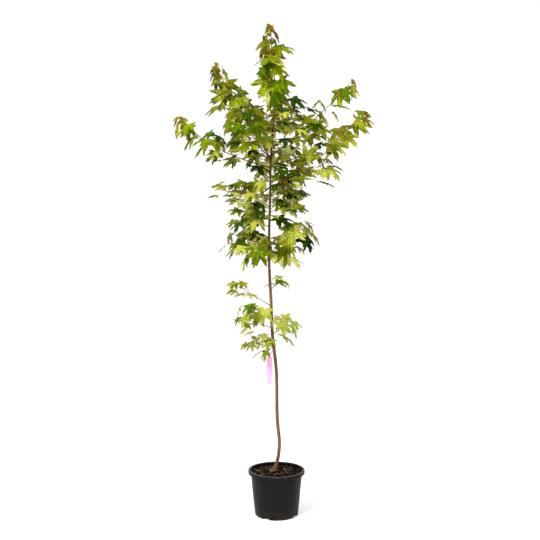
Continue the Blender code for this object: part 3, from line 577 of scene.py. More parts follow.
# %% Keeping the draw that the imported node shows
polar = np.array(list(LOBES) + [(-angle, far) for angle, far in LOBES[:0:-1]])
OUTLINE = polar[:, 1:] * np.stack([np.cos(np.radians(polar[:, 0])), np.sin(np.radians(polar[:, 0]))], -1)
NEAR = 0.0004                 # a point this close to a node lies on it


def node_surface(name):
    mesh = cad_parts[name].data
    return BVHTree.FromPolygons([v.co for v in mesh.vertices], [p.vertices for p in mesh.polygons])


def lies_on(surface, points, near=NEAR):
    return all(surface.find_nearest(Vector(p))[3] < near for p in points)


def lobe_points(leaf):
    """The CAD leaf's outline: foot + size * (along * midrib + side * across - fall * face)."""
    across = np.cross(leaf.face, leaf.midrib)
    along, side = OUTLINE[:, 0], OUTLINE[:, 1] * leaf.width
    fall = leaf.sag * ((along - HUB) ** 2 + side ** 2)
    flat = np.outer(along, leaf.midrib) + np.outer(side, across)
    return leaf.foot + leaf.size * (flat - np.outer(fall, leaf.face))


def kept_leaf(surface, place, heading, roll, bud, key):
    for attempt in range(TRIES):
        leaf = draw_leaf(place, heading, roll, bud, "%s try %d" % (key, attempt))
        if lies_on(surface, lobe_points(leaf)):
            return leaf
    return None


# %% Growing each shoot by its rule
Grown = namedtuple("Grown", "leaf shoot left key")


def bud_of(shoot, left):
    """A pair's leaves: smaller over the last pairs, which on a growing shoot also hang and are still half
    folded. left is how many pairs come after this one."""
    sizes = GROWING_TIP if shoot.growing else RESTING_TIP
    sizes = sizes if shoot.reach else LEADER_TIP
    size = shoot.blade * (sizes[left] if left < len(sizes) else 1.0)
    if not shoot.growing or left >= len(YOUNG_WIDTH):
        return Bud(size, shoot.droop, 1.0, shoot.growing)
    return Bud(size, min(shoot.droop + YOUNG_DROOP[left], MOST_DROOP), YOUNG_WIDTH[left], True)


def pair_share(shoot, k):
    low = shoot.bare + (BOUGH_LEAF_START if shoot.bough else 0.0)
    crowd = GROWING_CROWD if shoot.growing else RESTING_CROWD
    return low + (LAST_PAIR - low) * (1 - (1 - k / (shoot.pairs - 1)) ** crowd)


def grow_side_twig(shoot, surface, place, heading, roll, key):
    """A twig in place of a leaf, with two pairs of its own."""
    length = shoot.blade * random.Random(key).uniform(*TWIG_LENGTH)
    away = TWIG_AWAY * across_twig(heading, roll) + TWIG_ALONG * heading + TWIG_LIFT * UP
    twig = np.linspace(place, place + unit(away) * length, 3)
    if not lies_on(surface, twig[1:], 2 * STEM_TIP):
        return [], []
    leaves = []
    for j, (share, smaller) in enumerate(SIDE_TWIG_PAIRS):
        knot, along = read_path(twig, share)
        for s in (0, 1):
            turn = roll + 1 + j * math.pi / 2 + s * math.pi
            twig_key = "%s twig %d %d" % (key, j, s)
            bud = Bud(shoot.blade * smaller, shoot.droop, 1.0, False)
            leaf = kept_leaf(surface, knot - along * s * PAIR_STEP, along, turn, bud, twig_key)
            leaves.append(Grown(leaf, shoot, 2, twig_key))
    return [twig], leaves


def grow(shoot):
    """Pairs of leaves, each pair turned a quarter from the last. A low pair may have a side twig."""
    surface = node_surface(shoot.name + "_leaves")
    phase = random.Random("%s %d" % (shoot.name, shoot.seed)).uniform(0, math.pi)
    path = shoot_path(shoot)
    twigs, leaves = [], []
    for k in range(shoot.pairs):
        place, heading = read_path(path, pair_share(shoot, k))
        left = shoot.pairs - 1 - k
        for s in (0, 1):
            roll = phase + k * math.pi / 2 + s * math.pi
            key = "%s %d %d %d" % (shoot.name, shoot.seed, k, s)
            if k < shoot.twigs and s == 0:
                wood, more = grow_side_twig(shoot, surface, place, heading, roll, key)
                twigs += wood
                leaves += more
            else:
                leaf = kept_leaf(surface, place - heading * s * PAIR_STEP, heading, roll,
                                 bud_of(shoot, left), key)
                leaves.append(Grown(leaf, shoot, left, key))
    return twigs, [grown for grown in leaves if grown.leaf]


side_twigs, leaves = [], []
for shoot in SHOOTS:
    wood, more = grow(shoot)
    side_twigs += wood
    leaves += more
print("leaves found on the packed nodes:", len(leaves), "and side twigs:", len(side_twigs))

# %% [markdown]
# ## Bark with relief
# The trunk's surface is a function of height and angle. Its radius is the CAD model's, times one plus a
# few small things: the ribs of the root flare, a swollen ring at each old pair of buds, a scar where a
# low side shoot was cut, and shallow furrows. A displacement map would need a dense mesh anyway, and real
# geometry also shows in the outline.

# %% The trunk's surface
BURIED = 0.004                # the bark goes on a little under the soil
BARK_STEP = 0.0022            # between rings of points
BARK_SIDES = 28
NODE_FIRST, NODE_SPACING, NODE_STRAY = 0.05, 0.062, 0.012     # of old pairs of buds, above the soil
NODE_SWELL, NODE_HALF, NODE_ROUND = 0.11, 0.0035, 0.45
FLUTES, FLUTE_DEPTH, FLUTE_FADE, FLUTE_TURN = 3, 0.20, 0.030, 0.7
FURROWS = ((0.030, 0.0045, 3), (0.020, 0.0020, 4))            # share of the radius, size, seed
SCARS, SCAR_LOW, SCAR_HIGH = 9, SOIL_TOP + 0.12, 0.80
SCAR_RIM, SCAR_PIT = (0.0011, 0.0050), (0.0010, 0.0022)       # height or depth, and width
LEADER = SHOOTS[0]

rng = np.random.default_rng(5)
trunk_tip = LEADER.height + LEADER.rise
heights = np.arange(SOIL_TOP - BURIED, trunk_tip, BARK_STEP)
girth = trunk_radius(np.maximum(heights, SOIL_TOP))
leader_share = np.clip((heights - TRUNK_TOP) / LEADER.rise, 0, 1)
girth = np.where(heights > TRUNK_TOP, wood_radius(LEADER, leader_share), girth)
angles = np.arange(BARK_SIDES) * TURN / BARK_SIDES
h, a = np.meshgrid(heights, angles, indexing="ij")

node_heights = np.arange(SOIL_TOP + NODE_FIRST, trunk_tip, NODE_SPACING)
node_heights = node_heights + rng.uniform(-NODE_STRAY, NODE_STRAY, len(node_heights))
node_turn = np.arange(len(node_heights)) * 0.5 * math.pi + 0.4
away = (h[..., None] - node_heights) / NODE_HALF
both_sides = 1 - NODE_ROUND + NODE_ROUND * np.cos(2 * (a[..., None] - node_turn))
node = (np.exp(-away ** 2) * both_sides).sum(-1)
flutes = FLUTE_DEPTH * np.exp(-(h - SOIL_TOP).clip(0) / FLUTE_FADE) * np.sin(FLUTES * a + FLUTE_TURN)
bark_place = np.stack([np.cos(a) * 0.010, np.sin(a) * 0.010, h * 0.25], -1)
furrows = sum(depth * ripple(bark_place, size, seed) for depth, size, seed in FURROWS)
scar_heights = rng.uniform(SCAR_LOW, SCAR_HIGH, SCARS)
scar_turns = rng.uniform(0, TURN, SCARS)
across = (a[..., None] - scar_turns + math.pi) % TURN - math.pi
far = np.hypot(across * 0.008, h[..., None] - scar_heights)
rim, pit = (tall * np.exp(-(far / wide) ** 2) for tall, wide in (SCAR_RIM, SCAR_PIT))
scar = (rim - pit).sum(-1)
radius = girth[:, None] * (1 + NODE_SWELL * node + flutes + furrows) + scar
trunk_path = trunk_line(heights)
trunk_points = np.concatenate([rings_round(trunk_path, radius, np.array((1.0, 0.0, 0.0))).reshape(-1, 3),
                               trunk_path[:1], trunk_path[-1:] + 0.0012 * UP])
trunk_faces = ring_faces(len(heights), BARK_SIDES)
print("rings of bark:", len(heights), "old bud rings:", len(node_heights))

# %% [markdown]
# ## What bark is made of
# Young maple bark is smooth and grey-brown, warmer and redder higher up where it is younger, with fine
# upright streaks and many pale dots, the lenticels through which it breathes. On the trunk the colour
# higher up is also much darker: painted shade of the crown that hangs round it. The colour is a mix of
# browns by a stretched noise and by height, and the dots are a Voronoi pattern with a threshold.

# %% Bark
def bark_finish(name, old, older, upper_colour, from_height, to_height, dots):
    bark = Finish(name, Roughness=0.78, Specular_IOR_Level=0.06)
    streak = bark.noise(1.0, 4.0, 0.62, (260, 260, 34))
    patch = bark.noise(1.0, 3.0, 0.55, (30, 30, 9))
    upper_share = bark.step(bark.place(2) + patch * 0.25, from_height, to_height)
    colour = bark.mix(upper_share, bark.mix(bark.step(streak, 0.35, 0.68), old, older), upper_colour)
    fine = bark.add("ShaderNodeMapping", None, {"Vector": bark.place(), "Scale": (310, 310, 190)})
    cells = bark.add("ShaderNodeTexVoronoi", {"feature": "F1", "distance": "EUCLIDEAN"},
                     {"Vector": fine, "Scale": 1.0, "Randomness": 0.9})
    lenticel = 1 - bark.step(cells, 0.12, 0.26)
    bark.set(Base_Color=bark.mix(lenticel * dots, colour, "#a08c74"), Roughness=0.82 - patch * 0.18)
    bark.bump(streak * 0.6 + lenticel * 0.5, 0.0006)
    return bark


# painted shade: the trunk's upper colour is far darker than its lower ones, the younger bark's own tone
# with the crown's shade painted in
trunk_bark = bark_finish("trunk_bark_finish", "#735436", "#443220", "#422a16", 1.25, 2.05, 0.36)
bough_bark = bark_finish("bough_bark_finish", "#6e4630", "#4a2c1f", "#744226", 1.60, 2.30, 0.25)
make_piece("trunk_bark", trunk_points, trunk_faces, [trunk_bark], "bark", ["trunk"])

# %% [markdown]
# ## Boughs and twigs
# All limbs of one kind have the same number of rings, so one call makes them all: the paths go in as an
# array of (limb, ring, 3). A limb is a little thicker where it leaves the trunk, the branch collar, and at
# each pair of leaves. It starts inside the trunk's bark so that the two look grown together.

# %% Limbs
BOUGH_RINGS, STEM_RINGS = 110, 44
COLLAR, COLLAR_FADE = 0.75, 0.0045
KNOT_SWELL, KNOT_HALF = 0.30, 0.0026
STEM_GIRTH = 0.72             # a round twig next to the CAD model's three-sided one
LEAFY_GIRTH, LEAFY_TAPER = 0.0021, 0.0008                     # the most radius among the leaves
SINK = 0.7                    # how deep a limb starts in the trunk, in trunk radii


def limb(shoot, rings):
    """A limb's path and its radius at each ring: a taper, a collar at the trunk and a knot at each pair."""
    path = shoot_path(shoot, 61)
    _, _, radius = on_trunk(shoot.height)
    path = np.concatenate([[path[0] - outward(shoot)[1] * radius * SINK], path])
    run = lengths(path)
    at = np.linspace(0, run[-1], rings)
    line = np.stack([np.interp(at, run, path[:, i]) for i in range(3)], -1)
    past = at - run[1]
    share = np.clip(past / (run[-1] - run[1]), 0, 1)
    knots = np.array([pair_share(shoot, k) for k in range(shoot.pairs)])
    near = (past[:, None] - knots * (run[-1] - run[1])) / KNOT_HALF
    swell = KNOT_SWELL * np.exp(-near ** 2).sum(-1) + COLLAR * np.exp(-np.abs(past) / COLLAR_FADE)
    girth = wood_radius(shoot, share) * (1.0 if shoot.bough else STEM_GIRTH)
    girth = np.where(share > shoot.bare, np.minimum(girth, LEAFY_GIRTH - LEAFY_TAPER * share), girth)
    return line, girth * (1 + swell)


def limbs(shoots, rings, sides):
    lines, girths = zip(*[limb(shoot, rings) for shoot in shoots])
    return tubes(np.array(lines), np.array(girths), sides)


boughs = [shoot for shoot in SHOOTS if shoot.bough]
short_shoots = [shoot for shoot in SHOOTS[1:] if not shoot.bough]
make_piece("boughs_bark", *limbs(boughs, BOUGH_RINGS, 12), [bough_bark], "young_bark",
           [shoot.name + "_bough" for shoot in boughs])

# %% [markdown]
# ## Finer twigs
# The CAD model stops at its side twigs. A real shoot goes on: short spurs stand in the leaf pairs, each
# with a couple of small leaves. They follow the same rule, with their own draws, and they keep to the
# crown's box so that the tree doesn't grow.

# %% Spurs on every shoot
# the share of leaf pairs that bear spurs, for shoots that leave the trunk under each height
SPUR_CHANCES = ((1.20, 0.50), (1.40, 0.95), (1.65, 0.50), (TRUNK_TOP, 0.10), (TREE_TOP, 0.60))
SPUR_LENGTH = (0.018, 0.050)
SPUR_LEAF = (0.36, 0.62)      # least and most size of its leaves, as a share of the shoot's blade
SPUR_PAST = 0.10              # most way past its pair, as a share of the stem
SPUR_AWAY, SPUR_ALONG, SPUR_LIFT = 0.8, 0.5, 0.15
SPUR_LEAF_TURN = 1.2
SPUR_RINGS = 8
CROWN_FOOT, CROWN_INSET = 0.74, 0.004
CROWN_LOW = np.array([*CAD_BOX[0][:2], CROWN_FOOT]) + CROWN_INSET
CROWN_HIGH = np.array(CAD_BOX[1]) - CROWN_INSET


def by_height(table, height):
    """The table's entry for the first height that lies above the one given."""
    return next(entry for top, entry in table if height < top)


spur_paths, spur_leaves = [], []
for shoot in SHOOTS:
    path = shoot_path(shoot)
    chance = by_height(SPUR_CHANCES, shoot.height)
    for k in range(shoot.pairs - (4 if shoot.growing else 1)):
        for s in (0, 1):
            rng = random.Random("%s spur %d %d" % (shoot.name, k, s))
            if rng.random() > chance:
                continue
            place, heading = read_path(path, pair_share(shoot, k) + rng.uniform(0.0, SPUR_PAST))
            roll = rng.uniform(0, TURN)
            away = unit(SPUR_AWAY * across_twig(heading, roll) + SPUR_ALONG * heading + SPUR_LIFT * UP)
            length = rng.uniform(*SPUR_LENGTH)
            spur = place + away * length * np.linspace(0, 1, SPUR_RINGS)[:, None]
            tip_leaves = []
            for side in (0, 1):
                bud = Bud(shoot.blade * rng.uniform(*SPUR_LEAF), shoot.droop, 1.0, False)
                key = "%s spur leaf %d %d %d" % (shoot.name, k, s, side)
                leaf = draw_leaf(spur[-1], away, roll + SPUR_LEAF_TURN + side * math.pi, bud, key)
                points = lobe_points(leaf)
                if (points > CROWN_LOW).all() and (points < CROWN_HIGH).all():
                    tip_leaves.append(Grown(leaf, shoot, 2, key))
            if tip_leaves:
                spur_paths.append(spur)
                spur_leaves += tip_leaves
print("spurs:", len(spur_paths), "with leaves:", len(spur_leaves))

# %% All twigs in one piece
TWIG_RINGS = 14
SIDE_GIRTH, SPUR_GIRTH = (0.0015, 0.0010), (0.0011, 0.0008)   # radius at the foot and at the tip


def tapered(paths, girth, sides):
    """Tubes along many paths whose radius falls evenly from foot to tip."""
    paths = np.array(paths)
    return tubes(paths, np.broadcast_to(np.linspace(*girth, paths.shape[1]), paths.shape[:2]), sides)


side_paths = [[read_path(twig, t)[0] for t in np.linspace(0, 1, TWIG_RINGS)] for twig in side_twigs]
twig_parts = joined(limbs(short_shoots, STEM_RINGS, 8), tapered(side_paths, SIDE_GIRTH, 7),
                    tapered(spur_paths, SPUR_GIRTH, 5))
twig_bark = bark_finish("twig_bark_finish", "#7c3f2a", "#5a2e20", "#845030", 1.9, 2.5, 0.12)
masses = [shoot.name + "_leaves" for shoot in SHOOTS]
make_piece("twigs", *twig_parts, [twig_bark], "young_bark", masses)

# %% [markdown]
# ## Leaf stalks
# A maple's leaf hangs on a long red stalk. Each one is a curve from its place in the twig to the foot of
# the blade. It leaves the twig along its own line and then gives way to the blade's weight, so we add a
# bow: 4 * t * (1 - t), which is nothing at both ends and largest in the middle.

# %% Stalks
STALK_RINGS, STALK_SIDES, STALK_GIRTH = 7, 5, 0.00085
STALK_BOW, STALK_FOOT_SWELL = 0.07, 0.5
FULL_LEAF, THINNEST_STALK = 0.09, 0.6
every_leaf = leaves + spur_leaves


def column(grown_leaves, part):
    """One value or vector of each leaf, as an array."""
    return np.array([getattr(grown.leaf, part) for grown in grown_leaves])


roots, feet, sizes = (column(every_leaf, part) for part in ("root", "foot", "size"))
t = np.linspace(0, 1, STALK_RINGS)[None, :, None]
reach = np.linalg.norm(feet - roots, axis=1)[:, None, None]
stalk_paths = roots[:, None] * (1 - t) + feet[:, None] * t + UP * STALK_BOW * reach * 4 * t * (1 - t)
slim = np.clip(sizes / FULL_LEAF, THINNEST_STALK, 1.0)[:, None]
stalk_radii = STALK_GIRTH * slim * (1 + STALK_FOOT_SWELL * np.linspace(1, 0, STALK_RINGS)[None] ** 4)
stalk_red = Finish("stalk_finish", Roughness=0.5, Specular_IOR_Level=0.3)
stalk_red.set(Base_Color=stalk_red.mix(stalk_red.noise(14.0), "#84402a", "#a06c34"))
make_piece("leaf_stalks", *tubes(stalk_paths, stalk_radii, STALK_SIDES, unit(np.array((0.05, 0.08, 1.0)))),
           [stalk_red], "leaves", masses)

# %% [markdown]
# ## The blade
# One leaf is drawn once, flat, and then bent for each place it hangs in. Half its outline is a list of
# directions and distances from the foot: a long middle lobe, two side lobes, two small ones near the
# stalk, each with a tooth or two. A few more points lie on the ribs. A constrained Delaunay triangulation
# fills the outline with triangles whose edges run along the ribs, so that the blade can fold there.

# %% The flat leaf
HALF_OUTLINE = ((6, 0.79), (12, 0.84), (16, 0.62), (25, 0.43), (33, 0.56), (38, 0.77), (46, 0.90),
                (51, 0.68), (57, 0.67), (75, 0.33), (90, 0.47), (104, 0.58), (111, 0.38), (130, 0.26))
RIBS = (0, 46, -46, 104, -104)
RIB_POINTS = ((0, 0.20), (0, 0.60), (46, 0.46), (-46, 0.46))


def from_polar(pairs):
    angle, far = np.radians([p[0] for p in pairs]), np.array([p[1] for p in pairs])
    return np.stack([far * np.cos(angle), far * np.sin(angle)], -1)


right_half = [(-angle, far) for angle, far in HALF_OUTLINE[::-1]]
edge = from_polar([(0, 1.0), *HALF_OUTLINE, (0, 0.0), *right_half])
ribs = from_polar(RIB_POINTS)
flat = np.concatenate([edge, ribs])
loop = list(range(len(edge)))
flat_result = geometry.delaunay_2d_cdt([Vector(p) for p in flat], [], [loop], 1, 1e-6)
blade_faces = np.array(flat_result[2])
assert len(flat_result[0]) == len(flat)
a, b, c = (flat[blade_faces[:, i]] for i in range(3))
area = (b[:, 0] - a[:, 0]) * (c[:, 1] - a[:, 1]) - (b[:, 1] - a[:, 1]) * (c[:, 0] - a[:, 0])
blade_faces[area < 0] = blade_faces[area < 0][:, ::-1]
rib_ways = from_polar([(angle, 1.0) for angle in RIBS])
ahead = np.maximum(flat @ rib_ways.T, 0.0)
rib_distance = np.linalg.norm(flat[:, None] - ahead[..., None] * rib_ways, axis=-1).min(axis=1)
print("points of a leaf:", len(flat), "triangles of its upper side:", len(blade_faces))

# %% [markdown]
# ## Bending and placing all blades at once
# A blade has three directions of its own: its midrib, across, and its face. Every point of every leaf is
# foot + size * (along * midrib + side * across + lift * face). The lift has five parts: a sag from the hub,
# a fold down from the ribs, a curl of the tips, a wave round the edge and half the thickness. A leaf is two
# sheets that lie a hair apart: the upper side, and the under side with its faces turned over and a paler
# finish.

# %% Blades
FOLD, YOUNG_FOLD, THICKNESS = 0.22, 1.2, 0.006
SWEEP = 1.1                   # how far a young leaf's side lobes still point ahead
CROWDED, SLIM = (1.60, 2.00), 0.87      # short shoots between these heights have narrower leaves
WIDTHS, WAVES, CURLS = (0.92, 1.04), (0.02, 0.06), (0.02, 0.16)
leaf_faces = np.concatenate([blade_faces, len(flat) + blade_faces[:, ::-1]])
leaf_is_under = np.repeat([0, 1], len(blade_faces))
leaf_flat = np.concatenate([flat, flat])
leaf_rib = np.concatenate([rib_distance, rib_distance])
leaf_half = np.repeat([0.5, -0.5], len(flat))


def blades(grown_leaves, seed):
    """The points and triangles of many leaves: foot + size * (x * midrib + y * across + lift * face).
    The lift is wave * out ** 2 - curl * out ** 4 - fold * rib distance - sag * way from the hub ** 2."""
    rng = np.random.default_rng(seed)
    parts = ("foot", "midrib", "face", "size", "sag", "width")
    foot, midrib, face, size, sag, width = (column(grown_leaves, part)[:, None] for part in parts)
    count = len(grown_leaves)
    crowded = [bool(g.shoot) and not g.shoot.bough and CROWDED[0] < g.shoot.height < CROWDED[1]
               for g in grown_leaves]
    slim = np.where(crowded, SLIM, 1.0)[:, None]
    x = leaf_flat[:, 0] + SWEEP * (1 - width) * np.abs(leaf_flat[:, 1])
    y = leaf_flat[:, 1] * width * slim * rng.uniform(*WIDTHS, (count, 1))
    out = np.hypot(x, y)
    wave = rng.uniform(*WAVES, (count, 1))
    wave = wave * np.sin(4 * np.arctan2(y, x) + rng.uniform(0, TURN, (count, 1)))
    curl = rng.uniform(*CURLS, (count, 1))
    fold = FOLD + YOUNG_FOLD * (1 - width)
    lift = -sag * ((x - HUB) ** 2 + y ** 2) - fold * leaf_rib - curl * out ** 4 + wave * out ** 2
    lift = lift + THICKNESS * leaf_half
    across = np.cross(face, midrib)
    x, y, lift = (size * part for part in (x, y, lift))
    points = foot + x[..., None] * midrib + y[..., None] * across + lift[..., None] * face
    return points.reshape(-1, 3), many(leaf_faces, count, len(leaf_flat))


# %% [markdown]
# ## The greens
# Maple leaves open bronze, turn yellow-green and end dark above and pale below. So the finish of a leaf
# follows its age and its place: bronze and gold at the tips of growing shoots, darker greens inside, which
# are partly painted shade of the inner crown, light greens on the low shoots. Within a finish, a slow noise
# shifts the green from spray to spray and the blade's own flat map carries the ribs and the side veins,
# whose light and dark stripes are partly painted shade of the pleats. The underside is the same leaf,
# duller, and
# paler: partly its own pale green and partly painted light, for light shining through the blade.

# %% Leaf finishes
SIDE_VEINS = 7                # pairs of side veins along a leaf


def rib_mask(leaf):
    """1 on a rib: the least distance to the five ribs, from the blade's own flat map. The side veins are a
    wave of the distance from the foot less 0.8 of that to the rib, so its crests run out slantwise."""
    flat_map = leaf.add("ShaderNodeUVMap", {"uv_map": "blade"})
    x, y = leaf.part(flat_map, 0), abs(leaf.part(flat_map, 1))
    distance = y
    for angle in (46, 104):
        c, s = math.cos(math.radians(angle)), math.sin(math.radians(angle))
        behind = (0 - (x * c + y * s)).most(0.0)
        distance = distance.least(abs(y * c - x * s) + behind)
    far = (x * x + y * y) ** 0.5
    wave = ((far - distance * 0.8) * (TURN * SIDE_VEINS)).sine()
    return 1 - leaf.step(distance, 0.004, 0.024), distance, wave * 0.5 + 0.5


def leaf_finish(name, deep, light, rib, roughness, gloss, relief, vein_and_pleat_shade):
    leaf = Finish(name, Roughness=roughness, Specular_IOR_Level=gloss)
    spray, mottle = leaf.noise(15.0), leaf.noise(120.0, 3.0)
    ribs_here, distance, vein = rib_mask(leaf)
    # the stripes of the side veins in the colour are partly the veins' own tone and partly painted shade
    # and light of the pleats between them
    shade = spray * 0.6 + mottle * (0.4 - vein_and_pleat_shade) + vein * vein_and_pleat_shade
    colour = leaf.mix(leaf.step(shade, 0.41, 0.59), deep, light)
    leaf.set(Base_Color=leaf.mix(ribs_here * 0.6, colour, rib), Roughness=roughness + mottle * 0.10)
    leaf.bump((leaf.step(distance, 0.0, 0.10) + vein) * relief, 0.0020)
    return leaf


TINTS = {
    # name: upper side deep, light, rib; under side deep, light, rib
    # dark is partly the leaves' own deep green and partly painted shade inside the crown
    "dark": (("#0e1c00", "#223c00", "#44560e"), ("#324400", "#acae28", "#c6c66c")),
    "green": (("#2a4200", "#4e6600", "#6e7e1a"), ("#526600", "#a6a81c", "#c0c054")),
    "fresh": (("#485a00", "#6c7800", "#868a18"), ("#646e00", "#b2b034", "#c4c25a")),
    "pale": (("#68720a", "#969838", "#aaac5a"), ("#848a1e", "#d4d282", "#d6d4a2")),
    "gold": (("#5e5000", "#807400", "#928a18"), ("#6a5e02", "#928602", "#a4983a")),
    "bronze": (("#4e3800", "#705800", "#826a1a"), ("#544002", "#786402", "#86762a")),
}
finishes = {}
# the light colours of the under sides are partly the leaves' own pale green and partly painted light, for
# light shining through the blade
for tint, (upper, under) in TINTS.items():
    finishes[tint] = (leaf_finish("leaf_%s_upper" % tint, *upper, 0.52, 0.01, 0.6, 0.16),
                      leaf_finish("leaf_%s_under" % tint, *under, 0.70, 0.0, -0.5, 0.08))
print("leaf finishes:", len(finishes) * 2)

# %% Dealing the finishes out by spray
# shares of dark, green, fresh, pale for the leaves of the leader, of boughs, and of short shoots that
# leave the trunk under each height; the short shoots high inside the crown are mostly dark, partly as
# painted shade there
LEADING = (0.06, 0.50, 0.34, 0.10)
OUTER = (0.38, 0.38, 0.12, 0.12)
SHORT = ((1.20, (0.04, 0.20, 0.22, 0.54)), (1.40, (0.10, 0.22, 0.26, 0.42)),
         (1.65, (0.44, 0.20, 0.10, 0.26)), (TREE_TOP, (0.72, 0.04, 0.02, 0.22)))
# how many pairs at a growing tip are bronze or gold, and how many gold or fresh
YOUNG_TINTS = {"leader": (3, 5), "bough": (1, 2)}
YOUNG_CHANCES = ((0.6, "bronze", "gold"), (0.45, "gold", "fresh"))


def shares_of(shoot):
    if not shoot.reach:
        return LEADING
    return OUTER if shoot.bough else by_height(SHORT, shoot.height)


def tint_of(grown):
    """The youngest leaves of a growing shoot are bronze and gold, and the rest follow their spray."""
    rng = random.Random("tint " + grown.key)
    if grown.shoot.growing and "spur" not in grown.key:
        tips = YOUNG_TINTS["bough" if grown.shoot.reach else "leader"]
        for pairs, (chance, first, second) in zip(tips, YOUNG_CHANCES):
            if grown.left < pairs:
                return first if rng.random() < chance else second
    return rng.choices(("dark", "green", "fresh", "pale"), shares_of(grown.shoot))[0]


dealt = {tint: [] for tint in TINTS}
for grown in every_leaf:
    dealt[tint_of(grown)].append(grown)
for number, (tint, own) in enumerate(dealt.items()):
    points, faces = blades(own, 20 + number)
    uv = np.tile(leaf_flat, (len(own), 1))
    under = np.tile(leaf_is_under, len(own))
    make_piece("leaves_" + tint, points, faces, finishes[tint], "leaves", masses, under, uv)

# %% [markdown]
# ## The pot
# A nursery pot is blown from black plastic: thin walls, a lip that rolls over into a skirt, and notches
# round the foot that let water out. It is a profile turned round the upright axis. The profile is a list
# of straight runs and arcs, given as (radius, height), and the notches are pressed into its wall.

# %% The pot's profile
POT_HEIGHT, POT_LIP, POT_TOP, POT_BASE = 0.218, 0.140, 0.127, 0.107
WALL, FLOOR, LIP_HEIGHT, ROUNDING = 0.0018, 0.0030, 0.017, 0.006
BASE_LIFT, FOOT_INSIDE, FOOT_OUTSIDE = 0.0012, 0.016, 0.013      # the raised floor, inside its foot ring
BELLY, RIM_RIB, RIB_HEIGHT, RIB_HALF = 0.0006, 0.0004, 0.176, 0.0022
SKIRT_ARC, SKIRT_EDGE, SKIRT_OUT, SKIRT_MIDDLE = 0.0022, 0.0015, 0.0003, 0.009
UNEVENNESS, POT_STEPS = 0.0022, 180


def run(*points):
    return np.array(points)


skirt = POT_HEIGHT - LIP_HEIGHT
roll, skirt_roof = 2 * WALL, POT_HEIGHT - 3 * WALL
wall_heights = np.concatenate([np.linspace(ROUNDING, 0.020, 8), np.linspace(0.025, skirt, 36)])
wall_share = (wall_heights - ROUNDING) / (skirt - ROUNDING)
belly = BELLY * np.sin(wall_share * math.pi)
belly = belly + RIM_RIB * np.exp(-((wall_heights - RIB_HEIGHT) / RIB_HALF) ** 2)
outer_wall = np.stack([POT_BASE + (POT_TOP - POT_BASE) * wall_share + belly, wall_heights], -1)
profile = np.concatenate([
    run((0.0, BASE_LIFT), (POT_BASE - FOOT_INSIDE, BASE_LIFT), (POT_BASE - FOOT_OUTSIDE, 0.0)),
    arc((POT_BASE - ROUNDING, ROUNDING), ROUNDING, -90, 0, 8),
    outer_wall[1:],
    arc((POT_TOP + SKIRT_ARC, skirt_roof - SKIRT_ARC), SKIRT_ARC, 180, 90, 5),
    arc((POT_LIP - WALL - SKIRT_EDGE, skirt_roof - SKIRT_EDGE), SKIRT_EDGE, 90, 0, 4),
    arc((POT_LIP - 0.5 * WALL, skirt + 0.5 * WALL), 0.5 * WALL, 180, 360, 6),
    run((POT_LIP + SKIRT_OUT, POT_HEIGHT - SKIRT_MIDDLE)),
    arc((POT_LIP - roll, POT_HEIGHT - roll), roll, 0, 90, 7),
    arc((POT_TOP - WALL + roll, POT_HEIGHT - roll), roll, 90, 180, 7),
    run((POT_TOP - WALL, skirt), (POT_BASE - WALL, ROUNDING), (POT_BASE - WALL, FLOOR), (0.0, FLOOR))])
print("points of the pot's profile:", len(profile))

# %% Black plastic, dusty near the ground, with painted shade inside the lip
plastic = Finish("pot_plastic", Specular_IOR_Level=0.06)
x, y, height = (plastic.place(axis) for axis in range(3))
scuff = plastic.noise(26.0, 5.0, 0.65, (1, 1, 5))
dust = (1 - plastic.step(height, 0.0, 0.07)) * plastic.step(scuff, 0.40, 0.70)
black = plastic.mix(plastic.step(scuff, 0.52, 0.75), "#11100e", "#1f1c18")
black = plastic.mix(dust * 0.35, black, "#4c443a")
# painted shade: the inner part of the lip and the wall just under it go near black, for the shade inside
# the pot's mouth
painted_shade_inside_lip = (1 - plastic.step((x * x + y * y) ** 0.5, 0.1305, 0.1345)) * plastic.step(height, 0.190, 0.205)
black = plastic.mix(painted_shade_inside_lip * 0.85, black, "#050403")
crumbs = plastic.step(height, 0.2130, 0.2165) * plastic.step(plastic.noise(220.0, 3.0), 0.54, 0.66)
plastic.set(Base_Color=plastic.mix(crumbs * 0.7, black, "#6c706c"), Roughness=0.36 + scuff * 0.22)
plastic.bump(plastic.noise(700.0) * 0.25 + scuff, 0.0004)

# %% The notches, pressed into the corner of wall and floor
NOTCHES, NOTCH_WIDTH, NOTCH_HEIGHT, NOTCH_DEPTH = 4, 0.034, 0.013, 0.016
NOTCH_TURN = math.radians(-29)


def notched(points):
    """Points moved towards the upright axis by depth * (1 - side ** 6) * (1 - rise ** 6): side is 0 in the
    middle of a notch and 1 at its edge, rise is 0 on the ground and 1 at its roof."""
    x, y, z = points.T
    pitch = TURN / NOTCHES
    turn = (np.arctan2(y, x) - NOTCH_TURN + 0.5 * pitch) % pitch - 0.5 * pitch
    far = np.hypot(x, y).clip(GAP)
    side = np.clip(np.abs(turn) * far / (0.5 * NOTCH_WIDTH), 0, 1)
    rise = np.clip(z / NOTCH_HEIGHT, 0, 1)
    push = NOTCH_DEPTH * (1 - side ** 6) * (1 - rise ** 6) * (far > 0.5 * POT_BASE)
    return np.stack([x * (1 - push / far), y * (1 - push / far), z], -1)


pot_points, pot_faces = turned(profile, POT_STEPS, UNEVENNESS, 8)
make_piece("pot_shell", notched(pot_points), pot_faces, [plastic], "pot", ["pot"], crease=40)

# %% [markdown]
# ## The bark mix
# The pot is filled with composted bark. Its body is a plain turned solid with an uneven top. On it lie
# over two thousand chips. One chip is a bent splinter with 16 faces, and arrays turn, stretch and drop
# each copy, so that the whole heap is three meshes, one for each colour of bark.

